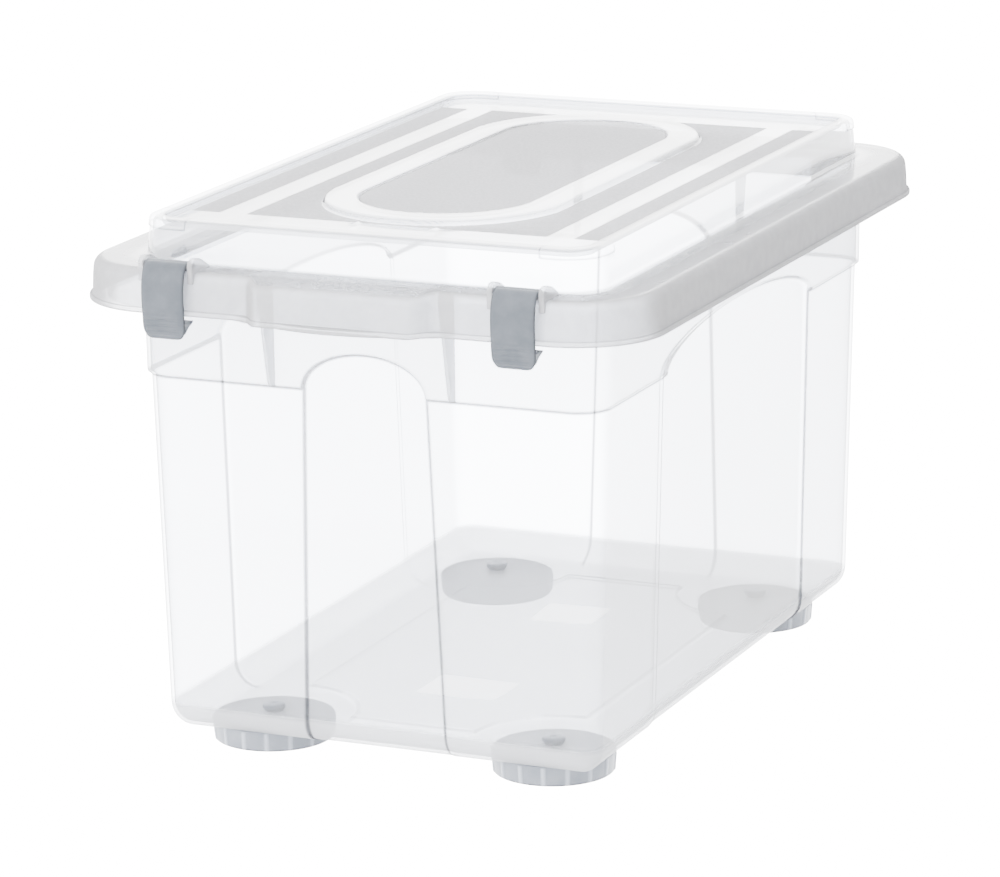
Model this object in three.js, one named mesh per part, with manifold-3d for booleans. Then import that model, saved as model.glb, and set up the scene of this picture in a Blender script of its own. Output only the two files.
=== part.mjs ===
// A clear storage bin that stacks on its own lid: a thin-walled tub, a lid that covers the tub's
// rim, four clips hinged on the lid's ends, and four low castors held in the floor by snap pins.
// Millimetres, +Z up, origin on the ground under the middle of the bin. X runs across the bin and
// Y along it. The clips and the hand grips are on the two ends of Y.
import * as THREE from 'three';
import { mergeVertices } from 'three/addons/utils/BufferGeometryUtils.js';
import Module from 'manifold-3d';

const wasm = await Module();
wasm.setup();

// Overall sizes. The lid is measured at its lower edge, without the hand grips.
const lidLength = 590;
const lidWidth = 408;
const tubHeight = 326.6;
const clearance = 0.4;
const overcut = 5;

// Castors: a ribbed drum that swivels on a pin, with one small roller off its centre.
const rollerRadius = 7.2;
const rollerWidth = 14;
const rollerOffset = 21;
const rollerBevel = 1;
const axleRadius = 1.5;
const rollerGap = 0.9;
const drumLift = 3;
const drumRadius = 42.2;
const drumTaper = 1.2;
const drumWall = 2;
const drumRibs = 16;
const drumRibWidth = 2.4;
const drumRibDepth = 0.8;
const drumBevel = 1;
const cheekWall = 3;
const cheekSlim = 0.6;
const hubWall = 3.6;
const hubDrop = 2.3;
const spokes = 4;
const spokeDrop = 5;
const spokeWall = 1.6;
const castorInsetX = 63.5;
const castorInsetY = 67.3;
const castorHeadings = [176.25, 35.5, 20, 171];

// Snap pins: a flange under the drum's hub, a stem up through the floor and a mushroom head.
const pinRadius = 6;
const pinFlangeRadius = pinRadius + 2.5;
const pinFlangeHeight = 1.8;
const pinHeadRadius = pinRadius + 1.8;
const pinHeadHeight = 4.8;
const pinCone = 1.8;
const pinBevel = 1;
const pinDome = 1.4;

// Tub: walls that lean out as they rise, a collar under the rim and arched panels on four sides.
const tubWall = 2.4;
const rimOverhang = 24.9;
const lidOverhang = 36.3;
const collarHeight = 77.8;
const collarStep = 3;
const collarEdge = 2;
const collarLean = 0.8;
const wallLean = 6.5;
const tubCorner = 24;
const baseFillet = 18;
const archRecess = 1.5;
const archRise = 26;
const endArch = { half: 44.2, footHalf: 51.3 };
const sideArch = { half: 139.6, footHalf: 142 };
const panelRise = 2;
const panelMargin = 58;
const gateRadius = 7;
const gateRise = 0.6;
const rimDrop = 25.2;
const gussetWall = 2.6;
const gussetX = 65;
const gussetTop = 21;
const gussetFoot = 8;

// Lid: a skirt round the tub's rim, a flat ledge, and a raised top that the next bin stands on.
const lidWall = 2.2;
const lidCorner = 59;
const lidRise = 26.8;
const skirtDepth = 28.7;
const skirtLean = 1.2;
const skirtLip = 2;
const skirtLipHeight = 3.5;
const ledgeRound = 7.5;
const topInset = 41.4;
const topEndInset = 37;
const topLean = 2.5;
const topCorner = 25;
const topRound = 2.4;
const topRim = 10;
const topRecess = 4.5;
const ringHalf = 84;
const ringLength = 201;
const ringWidth = 23;
const ringRise = 4;
const fieldDrop = 1.6;
const cornerCap = 36;
const cornerCapStep = 0.9;
const cornerCapDepth = 5;
const locatorDrop = 6;
const gripHalf = 62;
const gripDepth = 12;
const gripCorner = 9;
const gripSink = 4;
const fingerLipHalf = 70;
const fingerLipReach = 18;

// Clips: a strap rolled round its hinge at the top, with a hook and four grip ridges below.
const clipWidth = 31;
const clipInset = 79.5;
const clipRoll = 3.5;
const clipWall = 2.6;
const clipTrunnion = 2;
const clipTrunnionLength = 3.4;
const clipReach = 42.5;
const clipBow = 1.4;
const clipShoulder = 6;
const clipBelly = 18;
const clipKnee = 32;
const clipToe = 0.8;
const clipNeck = 0.62;
const clipHookDrop = 37;
const hookTipHeight = 1.2;
const hookHeight = 7;
const hookHeel = 5;
const ridges = 4;
const ridgePitch = 3.6;
const ridgeRadius = 1.1;
const ridgeSlope = 0.13;
const clipEndCorner = 9;
const hingeInset = 7;
const hingeRise = 3.6;
const earWall = 4;
const earRadius = 5.6;
const earTail = 22;
const earShoulder = 4;

// Levels and outlines that follow from the sizes above.
const discTop = 2 * rollerRadius + rollerGap + drumWall;
const drumHeight = discTop - drumLift;
const tubUnder = discTop + clearance;
const floorTop = tubUnder + tubWall;
const rimTop = tubUnder + tubHeight;
const collarFoot = rimTop - collarHeight;
const ledgeUnder = rimTop + clearance;
const ledgeTop = ledgeUnder + lidWall;
const skirtFoot = ledgeTop - skirtDepth;
const lidTop = ledgeTop + lidRise;
const panelTop = lidTop - topRecess;
const collarHalfX = lidWidth / 2 - lidOverhang;
const collarHalfY = lidLength / 2 - lidOverhang;
const castorX = collarHalfX - castorInsetX;
const castorY = collarHalfY - castorInsetY;
const clipX = lidWidth / 2 - clipInset;
const hingeY = lidLength / 2 - hingeInset;
const hingeZ = ledgeTop + hingeRise;
const ends = [-1, 1];
const roundSteps = [0, 30, 60, 90];

const clearPlastic = { color: 0xe8ecf0, roughness: 0.16, metalness: 0 };
const lidPlastic = { color: 0xeceef2, roughness: 0.22, metalness: 0 };
const clipPlastic = { color: 0x8d949c, roughness: 0.45, metalness: 0 };
const castorPlastic = { color: 0xb4b9c0, roughness: 0.4, metalness: 0 };
const pinPlastic = { color: 0x8b929c, roughness: 0.4, metalness: 0 };
const rollerPlastic = { color: 0x9aa0a8, roughness: 0.35, metalness: 0 };
const axleSteel = { color: 0xb9bcc0, roughness: 0.3, metalness: 1 };

// A closed geometry as a solid that can be joined and cut.
function solid(geometry) {
  const bare = geometry.clone();
  bare.deleteAttribute('normal');
  bare.deleteAttribute('uv');
  const merged = mergeVertices(bare, 1e-4);
  const vertProperties = new Float32Array(merged.attributes.position.array);
  const triVerts = new Uint32Array(merged.index.array);
  return new wasm.Manifold(new wasm.Mesh({ numProp: 3, vertProperties, triVerts }));
}

function namedMesh(name, shape, finish) {
  const { vertProperties, triVerts } = shape.getMesh();
  const geometry = new THREE.BufferGeometry();
  geometry.setAttribute('position', new THREE.BufferAttribute(vertProperties, 3));
  geometry.setIndex(new THREE.BufferAttribute(triVerts, 1));
  geometry.computeVertexNormals();
  const mesh = new THREE.Mesh(geometry, new THREE.MeshStandardMaterial(finish));
  mesh.name = name;
  return mesh;
}

function join(solids) {
  return solids.reduce((whole, next) => whole.add(next));
}

// A rounded rectangle that changes size from level to level, each level being z, its two half
// sizes and its corner radius.
function loft(levels) {
  const unit = new THREE.Shape();
  unit.absarc(1, 1, 1, 0, Math.PI / 2);
  unit.absarc(-1, 1, 1, Math.PI / 2, Math.PI);
  unit.absarc(-1, -1, 1, Math.PI, Math.PI * 1.5);
  unit.absarc(1, -1, 1, Math.PI * 1.5, Math.PI * 2);
  const steps = levels.length - 1;
  const geometry = new THREE.ExtrudeGeometry(unit, {
    depth: steps,
    steps,
    bevelEnabled: false,
    curveSegments: 6,
  });
  const position = geometry.attributes.position;
  for (let i = 0; i < position.count; i += 1) {
    const [z, halfX, halfY, radius] = levels[Math.round(position.getZ(i))];
    const x = position.getX(i);
    const y = position.getY(i);
    const cornerX = Math.sign(x) * (halfX - radius) + (x - Math.sign(x)) * radius;
    const cornerY = Math.sign(y) * (halfY - radius) + (y - Math.sign(y)) * radius;
    position.setXYZ(i, cornerX, cornerY, z);
  }
  return solid(geometry);
}

function extrude(shape, depth, curveSegments) {
  return new THREE.ExtrudeGeometry(shape, { depth, bevelEnabled: false, curveSegments });
}

// An outline in X and Y raised from one level to another.
function prism(shape, low, high) {
  return solid(extrude(shape, high - low, 12).translate(0, 0, low));
}

// An outline drawn in Y and Z, extruded along X between two places.
function alongX(shape, low, high, curveSegments = 10) {
  const geometry = extrude(shape, high - low, curveSegments);
  geometry.rotateX(Math.PI / 2).rotateZ(Math.PI / 2);
  return solid(geometry.translate(low, 0, 0));
}

// An outline drawn in X and Z, extruded along Y between two places.
function alongY(shape, low, high, curveSegments = 10) {
  const geometry = extrude(shape, high - low, curveSegments);
  geometry.rotateX(Math.PI / 2);
  return solid(geometry.translate(0, high, 0));
}

function box(lowX, highX, lowY, highY, lowZ, highZ) {
  const geometry = new THREE.BoxGeometry(highX - lowX, highY - lowY, highZ - lowZ);
  return solid(geometry.translate((lowX + highX) / 2, (lowY + highY) / 2, (lowZ + highZ) / 2));
}

function upright(radius, x, y, low, high, sides = 24) {
  const geometry = new THREE.CylinderGeometry(radius, radius, high - low, sides);
  return solid(geometry.rotateX(Math.PI / 2).translate(x, y, (low + high) / 2));
}

// A round bar along X, centred at x.
function barX(radius, length, x, y, z, sides = 16) {
  const geometry = new THREE.CylinderGeometry(radius, radius, length, sides);
  return solid(geometry.rotateZ(Math.PI / 2).translate(x, y, z));
}

// A round bar along Y, centred at y = 0.
function barY(radius, length, x, z, sides = 16) {
  const geometry = new THREE.CylinderGeometry(radius, radius, length, sides);
  return solid(geometry.translate(x, 0, z));
}

function turned(profile, sides) {
  const points = profile.map(([radius, z]) => new THREE.Vector2(radius, z));
  return solid(new THREE.LatheGeometry(points, sides).rotateX(Math.PI / 2));
}

// A copy of a solid turned half a turn about Z, for the features that both ends of the bin have.
function bothEnds(shape) {
  return shape.add(halfTurn(shape));
}

function halfTurn(shape) {
  const { vertProperties, triVerts } = shape.getMesh();
  const geometry = new THREE.BufferGeometry();
  geometry.setAttribute('position', new THREE.BufferAttribute(new Float32Array(vertProperties), 3));
  geometry.setIndex(new THREE.BufferAttribute(triVerts, 1));
  return solid(geometry.rotateZ(Math.PI));
}

// How far the tub's wall stands inside the collar's outline at a height.
function wallInset(z) {
  return collarStep + (wallLean * (collarFoot - z)) / (collarFoot - tubUnder);
}

// The tub's outline, taken in by an offset, with a filleted foot and, if asked for, its collar.
function tubForm(offset, foot, fillet, top, collarBase) {
  const level = (z, inset) => [
    z,
    collarHalfX - inset - offset,
    collarHalfY - inset - offset,
    Math.max(tubCorner - inset - offset, 2),
  ];
  const levels = [];
  for (const degrees of roundSteps) {
    const angle = THREE.MathUtils.degToRad(degrees);
    const z = foot + fillet * (1 - Math.cos(angle));
    levels.push(level(z, wallInset(z) + fillet * (1 - Math.sin(angle))));
  }
  if (collarBase === undefined) {
    levels.push(level(top, wallInset(top)));
    return loft(levels);
  }
  levels.push(level(collarBase, wallInset(collarBase)));
  levels.push(level(collarBase + collarEdge, 0));
  levels.push(level(top, -collarLean));
  return loft(levels);
}

// The outline of an arched panel: nearly upright sides that run out below the tub, and an
// elliptical head. The outline grows by the wall where it shapes the inside.
function archShape({ half, footHalf }, grow) {
  const shape = new THREE.Shape();
  shape.moveTo(-footHalf - grow, tubUnder - overcut);
  shape.lineTo(footHalf + grow, tubUnder - overcut);
  shape.lineTo(half + grow, collarFoot);
  shape.absellipse(0, collarFoot, half + grow, archRise + grow, 0, Math.PI, false);
  return shape;
}

// The material outside the recessed faces, within the four arched panels.
function archCuts(grow, core) {
  const endPanels = alongY(archShape(endArch, grow), -lidLength, lidLength, 16);
  const sidePanels = alongX(archShape(sideArch, grow), -lidLength, lidLength, 16);
  return endPanels.add(sidePanels).subtract(core);
}

// The raised middle of the floor, cut back in an arc round each castor.
function floorPanel(shrink, low, high) {
  const halfX = castorX - shrink;
  const halfY = castorY - shrink;
  const level = (z) => [z, halfX, halfY, 1];
  let panel = loft([level(low), level(high)]);
  for (const [x, y] of castorPlaces()) {
    panel = panel.subtract(upright(panelMargin + shrink, x, y, low - overcut, high + overcut, 40));
  }
  return panel;
}

function castorPlaces() {
  return [
    [-castorX, -castorY],
    [castorX, -castorY],
    [-castorX, castorY],
    [castorX, castorY],
  ];
}

// A rounded block that swells the skirt and the rim at the hand grips, taken in by an offset.
function gripBlock(reach, offset, low, high) {
  const radius = Math.max(gripCorner - offset, 1);
  const level = (z) => [z, gripHalf - offset, reach - offset, radius];
  return loft([level(low), level(high)]);
}

// The tub's rim, hollow below: a flat top outside the collar with its edge turned down.
function tubRim() {
  const reach = lidLength / 2 - lidOverhang + rimOverhang + gripDepth;
  const form = (offset, low, high) => {
    const level = (z) => [
      z,
      collarHalfX + rimOverhang - offset,
      collarHalfY + rimOverhang - offset,
      tubCorner + rimOverhang - offset,
    ];
    return loft([level(low), level(high)])
      .add(gripBlock(reach, offset + lidWall + clearance, low, high - gripSink));
  };
  const outside = form(0, rimTop - rimDrop, rimTop);
  return outside.subtract(form(tubWall, rimTop - rimDrop - overcut, rimTop - tubWall));
}

// Two upright plates under each hand grip, narrower towards the collar's foot.
function gussets() {
  const inner = -collarHalfY + collarStep / 2;
  const shape = new THREE.Shape();
  shape.moveTo(inner, collarFoot);
  shape.lineTo(-collarHalfY - gussetFoot, collarFoot);
  shape.lineTo(-collarHalfY - gussetTop, rimTop - tubWall / 2);
  shape.lineTo(inner, rimTop - tubWall / 2);
  const plates = ends.map((side) => {
    const x = side * gussetX;
    return alongX(shape, x - gussetWall / 2, x + gussetWall / 2);
  });
  return bothEnds(join(plates));
}

function makeTub() {
  const outerCore = tubForm(archRecess, tubUnder, baseFillet, rimTop + overcut);
  const outside = tubForm(0, tubUnder, baseFillet, rimTop, collarFoot).subtract(archCuts(0, outerCore));
  const innerFillet = baseFillet - tubWall;
  const innerCore = tubForm(archRecess + tubWall, floorTop, innerFillet, rimTop + 2 * overcut);
  const inside = tubForm(tubWall, floorTop, innerFillet, rimTop + overcut, collarFoot + tubWall)
    .subtract(archCuts(tubWall, innerCore))
    .subtract(floorPanel(0, tubUnder, floorTop + panelRise))
    .subtract(upright(gateRadius, 0, 0, floorTop, floorTop + panelRise + gateRise));
  let tub = outside.add(tubRim()).add(gussets()).subtract(inside);
  tub = tub.subtract(floorPanel(tubWall, tubUnder - overcut, tubUnder + panelRise));
  for (const [x, y] of castorPlaces()) {
    tub = tub.subtract(upright(pinRadius + clearance, x, y, tubUnder - overcut, floorTop + overcut));
  }
  return tub;
}

// The skirt and ledge, taken in by an offset, with a rounded upper edge.
function skirtForm(offset, low, high, round) {
  const inset = (z) => skirtLip + (skirtLean * (z - skirtFoot)) / skirtDepth;
  const level = (z, extra) => [
    z,
    lidWidth / 2 - inset(z) - offset - extra,
    lidLength / 2 - inset(z) - offset - extra,
    lidCorner - inset(z) - offset - extra,
  ];
  const levels = [level(low, 0)];
  for (const degrees of roundSteps) {
    const angle = THREE.MathUtils.degToRad(degrees);
    levels.push(level(high - round * (1 - Math.sin(angle)), round * (1 - Math.cos(angle))));
  }
  return loft(levels);
}

// The raised top, taken in by an offset, with a rounded upper edge.
function topForm(offset, low, high, round) {
  const lean = (z) => (topLean * (lidTop - z)) / lidRise;
  const level = (z, extra) => [
    z,
    lidWidth / 2 - topInset + lean(z) - offset - extra,
    lidLength / 2 - topEndInset + lean(z) - offset - extra,
    topCorner - offset - extra,
  ];
  const bevel = round * 0.3;
  return loft([level(low, 0), level(high - round, 0), level(high - bevel, bevel), level(high, round)]);
}

// The wall under the ledge that drops just inside the tub's rim, taken in by an offset.
function locatorForm(offset, low, high) {
  const inset = tubWall + clearance + offset;
  const level = (z) => [z, collarHalfX - inset, collarHalfY - inset, tubCorner - inset];
  return loft([level(low), level(high)]);
}

// An oblong with half-round ends, lying along Y.
function stadium(halfWidth, halfLength, low, high) {
  const straight = halfLength - halfWidth;
  const shape = new THREE.Shape();
  shape.absarc(0, straight, halfWidth, 0, Math.PI);
  shape.absarc(0, -straight, halfWidth, Math.PI, Math.PI * 2);
  return prism(shape, low, high);
}

// The hollow in the top, inside its rim, with the oblong ring and the field within it left up.
function topHollow(grow, floor, high) {
  const halfX = lidWidth / 2 - topInset - topRim + grow;
  const halfY = lidLength / 2 - topEndInset - topRim + grow;
  const radius = topCorner - topRim + grow;
  const hollow = loft([
    [floor, halfX, halfY, radius],
    [high, halfX, halfY, radius],
  ]);
  const ringOutside = stadium(ringHalf - grow, ringLength - grow, floor - overcut, floor + ringRise);
  const fieldInside = stadium(
    ringHalf - ringWidth + grow,
    ringLength - ringWidth + grow,
    floor + ringRise - fieldDrop,
    floor + ringRise + overcut,
  );
  return hollow.subtract(ringOutside.subtract(fieldInside));
}

// Rounded lugs on the ledge either side of each clip, with a hole for the clip's trunnion.
function hingeEars() {
  const shape = new THREE.Shape();
  const foot = ledgeTop - ledgeRound;
  const step = -lidLength / 2 + skirtLip + skirtLean + lidWall;
  shape.moveTo(-hingeY - earRadius, foot);
  shape.lineTo(step, foot);
  shape.lineTo(step, ledgeTop - lidWall / 2);
  shape.lineTo(-hingeY + earTail, ledgeTop - lidWall / 2);
  shape.quadraticCurveTo(-hingeY + earRadius + earShoulder, hingeZ + earRadius, -hingeY, hingeZ + earRadius);
  shape.absarc(-hingeY, hingeZ, earRadius, Math.PI / 2, Math.PI);
  const ears = [];
  for (const side of ends) {
    for (const clipSide of ends) {
      const near = side * clipX + clipSide * (clipWidth / 2 + clearance);
      const far = near + clipSide * earWall;
      ears.push(alongX(shape, Math.min(near, far), Math.max(near, far), 5));
    }
  }
  return bothEnds(join(ears));
}

function hingeHoles() {
  const length = clipWidth + 2 * (clearance + clipTrunnionLength);
  const radius = clipTrunnion + clearance;
  const holes = ends.map((side) => barX(radius, length, side * clipX, -hingeY, hingeZ, 12));
  return bothEnds(join(holes));
}

// Shallow pads that thicken the raised top's corners outward, where stacked bins bear.
function cornerCaps() {
  const level = (z) => [
    z,
    lidWidth / 2 - topInset + cornerCapStep,
    lidLength / 2 - topEndInset + cornerCapStep,
    topCorner,
  ];
  const high = lidTop - topRound;
  const band = loft([level(high - cornerCapDepth), level(high)]);
  const reachX = lidWidth / 2 - topInset - cornerCap;
  const reachY = lidLength / 2 - topEndInset - cornerCap;
  const across = box(-reachX, reachX, -lidLength, lidLength, ledgeTop, lidTop);
  const along = box(-lidWidth, lidWidth, -reachY, reachY, ledgeTop, lidTop);
  return band.subtract(across).subtract(along);
}

// The finger lip at the foot of each hand grip, an arc in plan.
function fingerLips() {
  const radius = (fingerLipHalf ** 2 + fingerLipReach ** 2) / (2 * fingerLipReach);
  const centre = -lidLength / 2 - fingerLipReach + radius;
  const sweep = Math.asin(fingerLipHalf / radius);
  const down = -Math.PI / 2;
  const shape = new THREE.Shape();
  shape.moveTo(fingerLipHalf, -lidLength / 2 + skirtLip);
  shape.lineTo(-fingerLipHalf, -lidLength / 2 + skirtLip);
  shape.absarc(0, centre, radius, down - sweep, down + sweep);
  return bothEnds(prism(shape, skirtFoot, skirtFoot + skirtLipHeight));
}

function makeLid() {
  const gripReach = lidLength / 2 - skirtLip + gripDepth;
  const lipLevel = (z) => [z, lidWidth / 2, lidLength / 2, lidCorner];
  const lip = loft([lipLevel(skirtFoot), lipLevel(skirtFoot + skirtLipHeight)]).add(fingerLips());
  const gripTop = ledgeTop - lidWall;
  const outside = skirtForm(0, skirtFoot, ledgeTop, ledgeRound)
    .add(lip)
    .add(gripBlock(gripReach, 0, skirtFoot, gripTop))
    .add(topForm(0, ledgeTop - lidWall, lidTop, topRound))
    .add(cornerCaps());
  const skirtInside = skirtForm(lidWall, skirtFoot - overcut, ledgeUnder, ledgeRound - lidWall)
    .add(gripBlock(gripReach, lidWall, skirtFoot - overcut, gripTop - lidWall));
  const topInside = topForm(lidWall, ledgeTop, lidTop - lidWall, topRound / 2)
    .subtract(topHollow(lidWall, panelTop - lidWall, lidTop + overcut))
    .add(locatorForm(lidWall, ledgeUnder - locatorDrop - overcut, ledgeTop + lidWall));
  const locator = locatorForm(0, ledgeUnder - locatorDrop, ledgeTop - lidWall / 2);
  return outside
    .subtract(topHollow(0, panelTop, lidTop + overcut))
    .subtract(skirtInside)
    .add(locator)
    .add(hingeEars())
    .subtract(topInside)
    .subtract(hingeHoles());
}

// The clip's strap seen from the side: rolled round the hinge, bowed out round the skirt, and
// straight at its lower end. It is drawn about the hinge, with outward as minus Y.
function clipProfile() {
  const foot = -hingeRise - lidWall - clipReach;
  const out = hingeInset + clearance + clipWall;
  const inner = -out + clipWall;
  const tip = hingeY - collarHalfY - rimOverhang - clearance;
  const neck = Math.asin(clipNeck);
  const shape = new THREE.Shape();
  shape.moveTo(0, clipRoll);
  shape.bezierCurveTo(-out * 0.75, clipRoll, -out - clipBow, -clipShoulder, -out - clipBow, -clipBelly);
  shape.quadraticCurveTo(-out - clipBow, -clipKnee, -out + clipToe, foot);
  shape.lineTo(inner, foot + clipToe);
  shape.lineTo(inner + clipToe, -clipHookDrop - hookHeight);
  shape.lineTo(inner + hookHeel, -clipHookDrop - hookHeight / 2);
  shape.lineTo(tip, -clipHookDrop - hookTipHeight);
  shape.lineTo(tip, -clipHookDrop);
  shape.lineTo(inner, -clipHookDrop);
  shape.quadraticCurveTo(inner - clipBow, -clipBelly, inner - clipToe, -2 * clipShoulder);
  shape.quadraticCurveTo(inner, -clipShoulder, -clipRoll * Math.cos(neck), -clipRoll * clipNeck);
  shape.absarc(0, 0, clipRoll, Math.PI + neck, (5 * Math.PI) / 2, false);
  return shape;
}

// The clip seen from outside: straight sides and a narrower, rounded lower end.
function clipOutline() {
  const foot = -hingeRise - lidWall - clipReach - ridgeRadius;
  const top = clipRoll + ridgeRadius;
  const half = clipWidth / 2;
  const footHalf = half - clipEndCorner * 0.7;
  const shape = new THREE.Shape();
  shape.moveTo(-half, top);
  shape.lineTo(-half, foot + clipEndCorner);
  shape.quadraticCurveTo(-half + clipToe, foot + clipToe, -footHalf, foot);
  shape.lineTo(footHalf, foot);
  shape.quadraticCurveTo(half - clipToe, foot + clipToe, half, foot + clipEndCorner);
  shape.lineTo(half, top);
  return shape;
}

function makeClip() {
  const half = clipWidth / 2;
  const out = hingeInset + clearance + clipWall;
  const foot = -hingeRise - lidWall - clipReach;
  let clip = alongX(clipProfile(), -half, half, 6);
  for (let i = 0; i < ridges; i += 1) {
    const z = foot + ridgePitch * (i + 1);
    clip = clip.add(barX(ridgeRadius, clipWidth, 0, -out - ridgeSlope * (i + 1), z, 8));
  }
  clip = clip.intersect(alongY(clipOutline(), -clipReach, clipReach));
  const trunnion = barX(clipTrunnion, clipWidth + 2 * clipTrunnionLength, 0, 0, 0, 12);
  return clip.add(trunnion);
}

function makeHousing() {
  const rimRadius = drumRadius - drumTaper;
  const webUnder = discTop - drumWall;
  const hubRadius = pinRadius + clearance + hubWall;
  const bore = pinRadius + clearance;
  let drum = turned([
    [bore, webUnder - hubDrop],
    [hubRadius, webUnder - hubDrop],
    [hubRadius, webUnder],
    [drumRadius - drumWall, webUnder],
    [rimRadius - drumWall, drumLift],
    [rimRadius, drumLift],
    [drumRadius, discTop - drumBevel],
    [drumRadius - drumBevel, discTop],
    [bore, discTop],
    [bore, webUnder - hubDrop],
  ], 32);
  for (let i = 0; i < drumRibs; i += 1) {
    const rib = new THREE.BoxGeometry(drumWall, drumRibWidth, drumHeight - 2 * drumBevel);
    rib.translate(rimRadius - drumWall / 2 + drumRibDepth, 0, drumLift + drumHeight / 2);
    drum = drum.add(solid(rib.rotateZ((i * Math.PI * 2) / drumRibs)));
  }
  const spokeNear = hubRadius - drumWall / 4;
  const spokeFar = rimRadius - drumWall / 2;
  for (let i = 0; i < spokes; i += 1) {
    const spoke = new THREE.BoxGeometry(spokeFar - spokeNear, spokeWall, spokeDrop + drumWall / 2);
    spoke.translate((spokeNear + spokeFar) / 2, 0, webUnder - spokeDrop / 2 + drumWall / 4);
    drum = drum.add(solid(spoke.rotateZ(((i + 0.5) * Math.PI * 2) / spokes)));
  }
  const cheekNear = rollerWidth / 2 + clearance;
  const cheekFar = cheekNear + cheekWall;
  const cheekHalf = rollerRadius - cheekSlim;
  for (const side of ends) {
    const lowY = Math.min(side * cheekNear, side * cheekFar);
    const cheek = box(
      rollerOffset - cheekHalf,
      rollerOffset + cheekHalf,
      lowY,
      lowY + cheekWall,
      drumLift,
      webUnder + drumWall / 2,
    );
    drum = drum.add(cheek);
  }
  const axleHole = barY(axleRadius + clearance, 2 * cheekFar + overcut, rollerOffset, rollerRadius);
  return drum.subtract(axleHole);
}

function makeRoller() {
  const half = rollerWidth / 2;
  const bore = axleRadius + clearance;
  const profile = [
    [bore, -half],
    [rollerRadius - rollerBevel, -half],
    [rollerRadius, -half + rollerBevel],
    [rollerRadius, half - rollerBevel],
    [rollerRadius - rollerBevel, half],
    [bore, half],
    [bore, -half],
  ].map(([radius, y]) => new THREE.Vector2(radius, y));
  return solid(new THREE.LatheGeometry(profile, 24).translate(rollerOffset, 0, rollerRadius));
}

function makeAxle() {
  return barY(axleRadius, rollerWidth + 2 * (clearance + cheekWall), rollerOffset, rollerRadius);
}

function makePin() {
  const hubUnder = discTop - drumWall - hubDrop;
  const flangeTop = hubUnder - clearance;
  const headFoot = floorTop + clearance;
  const headTop = headFoot + pinHeadHeight;
  return turned([
    [0, flangeTop - pinFlangeHeight],
    [pinFlangeRadius, flangeTop - pinFlangeHeight],
    [pinFlangeRadius, flangeTop],
    [pinRadius, flangeTop],
    [pinRadius, headFoot],
    [pinHeadRadius, headFoot + pinCone],
    [pinHeadRadius, headTop - pinBevel],
    [pinHeadRadius - pinDome, headTop],
    [0, headTop],
  ], 16);
}

const bin = new THREE.Group();
bin.add(namedMesh('bin_body', makeTub(), clearPlastic));
bin.add(namedMesh('lid', makeLid(), lidPlastic));

const clip = makeClip();
for (const end of ends) {
  for (const side of ends) {
    const name = `clip_${end < 0 ? 'front' : 'back'}_${side < 0 ? 'left' : 'right'}`;
    const mesh = namedMesh(name, clip, clipPlastic);
    mesh.position.set(side * clipX, end * hingeY, hingeZ);
    mesh.rotation.z = end < 0 ? 0 : Math.PI;
    bin.add(mesh);
  }
}

const castorNames = ['front_left', 'front_right', 'back_left', 'back_right'];
const housing = makeHousing();
const roller = makeRoller();
const axle = makeAxle();
const pin = makePin();
castorPlaces().forEach(([x, y], i) => {
  const castor = new THREE.Group();
  castor.position.set(x, y, 0);
  castor.rotation.z = THREE.MathUtils.degToRad(castorHeadings[i]);
  castor.add(namedMesh(`castor_housing_${castorNames[i]}`, housing, castorPlastic));
  castor.add(namedMesh(`castor_roller_${castorNames[i]}`, roller, rollerPlastic));
  castor.add(namedMesh(`castor_axle_${castorNames[i]}`, axle, axleSteel));
  castor.add(namedMesh(`castor_pin_${castorNames[i]}`, pin, pinPlastic));
  bin.add(castor);
});

export default bin;
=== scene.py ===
import math
import bmesh
import bpy
import numpy as np
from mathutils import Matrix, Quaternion, Vector


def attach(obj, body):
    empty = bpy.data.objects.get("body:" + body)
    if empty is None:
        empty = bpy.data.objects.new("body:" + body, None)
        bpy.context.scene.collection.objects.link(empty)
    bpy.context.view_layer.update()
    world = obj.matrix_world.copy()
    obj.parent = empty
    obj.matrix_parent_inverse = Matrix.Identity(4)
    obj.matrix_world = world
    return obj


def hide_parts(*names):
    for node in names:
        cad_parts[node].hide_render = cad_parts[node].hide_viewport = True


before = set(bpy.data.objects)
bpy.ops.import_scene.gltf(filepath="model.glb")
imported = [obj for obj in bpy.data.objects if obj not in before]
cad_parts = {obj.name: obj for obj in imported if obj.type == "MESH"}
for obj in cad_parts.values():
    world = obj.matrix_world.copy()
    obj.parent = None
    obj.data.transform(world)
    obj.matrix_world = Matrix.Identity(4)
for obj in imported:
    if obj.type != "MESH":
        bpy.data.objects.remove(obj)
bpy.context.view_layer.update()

# All the sizes below are in millimetres and are those of the part's own model.
MM = 0.001

# Points closer together than this are one point.
SAME_POINT = 0.001

# Levels, from the ground up.
TUB_UNDER = 17.7
FLOOR_TOP = 20.1
RIM_TOP = 344.3
COLLAR_FOOT = 266.5
LEDGE_UNDER = 344.7
LEDGE_TOP = 346.9
SKIRT_FOOT = 318.2
PANEL_TOP = 369.2
LID_TOP = 373.7

# Tub: a base rectangle pushed outward, with walls that lean, a collar and arched panels.
TUB_BASE = (143.7, 234.7)
TUB_CORNER = 24.0
TUB_WALL = 2.4
COLLAR_STEP = 3.0
COLLAR_LEAN = 0.8
WALL_LEAN = 6.5
BASE_FILLET = 18.0
ARCH_RECESS = 1.5
ARCH_RISE = 26.0
END_ARCH = (44.2, 51.3)
SIDE_ARCH = (139.6, 142.0)
STEP_ROUND = 1.5
LINE_WIDTH = 1.8
RIM_OVERHANG = 24.9
RIM_DROP = 25.2
RIM_ROUND = 3.0
PANEL_RISE = 2.0
PANEL_ARC = 58.0
CASTOR = (104.2, 191.4)
GATE_RADIUS = 7.0
GATE_RISE = 0.6

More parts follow.
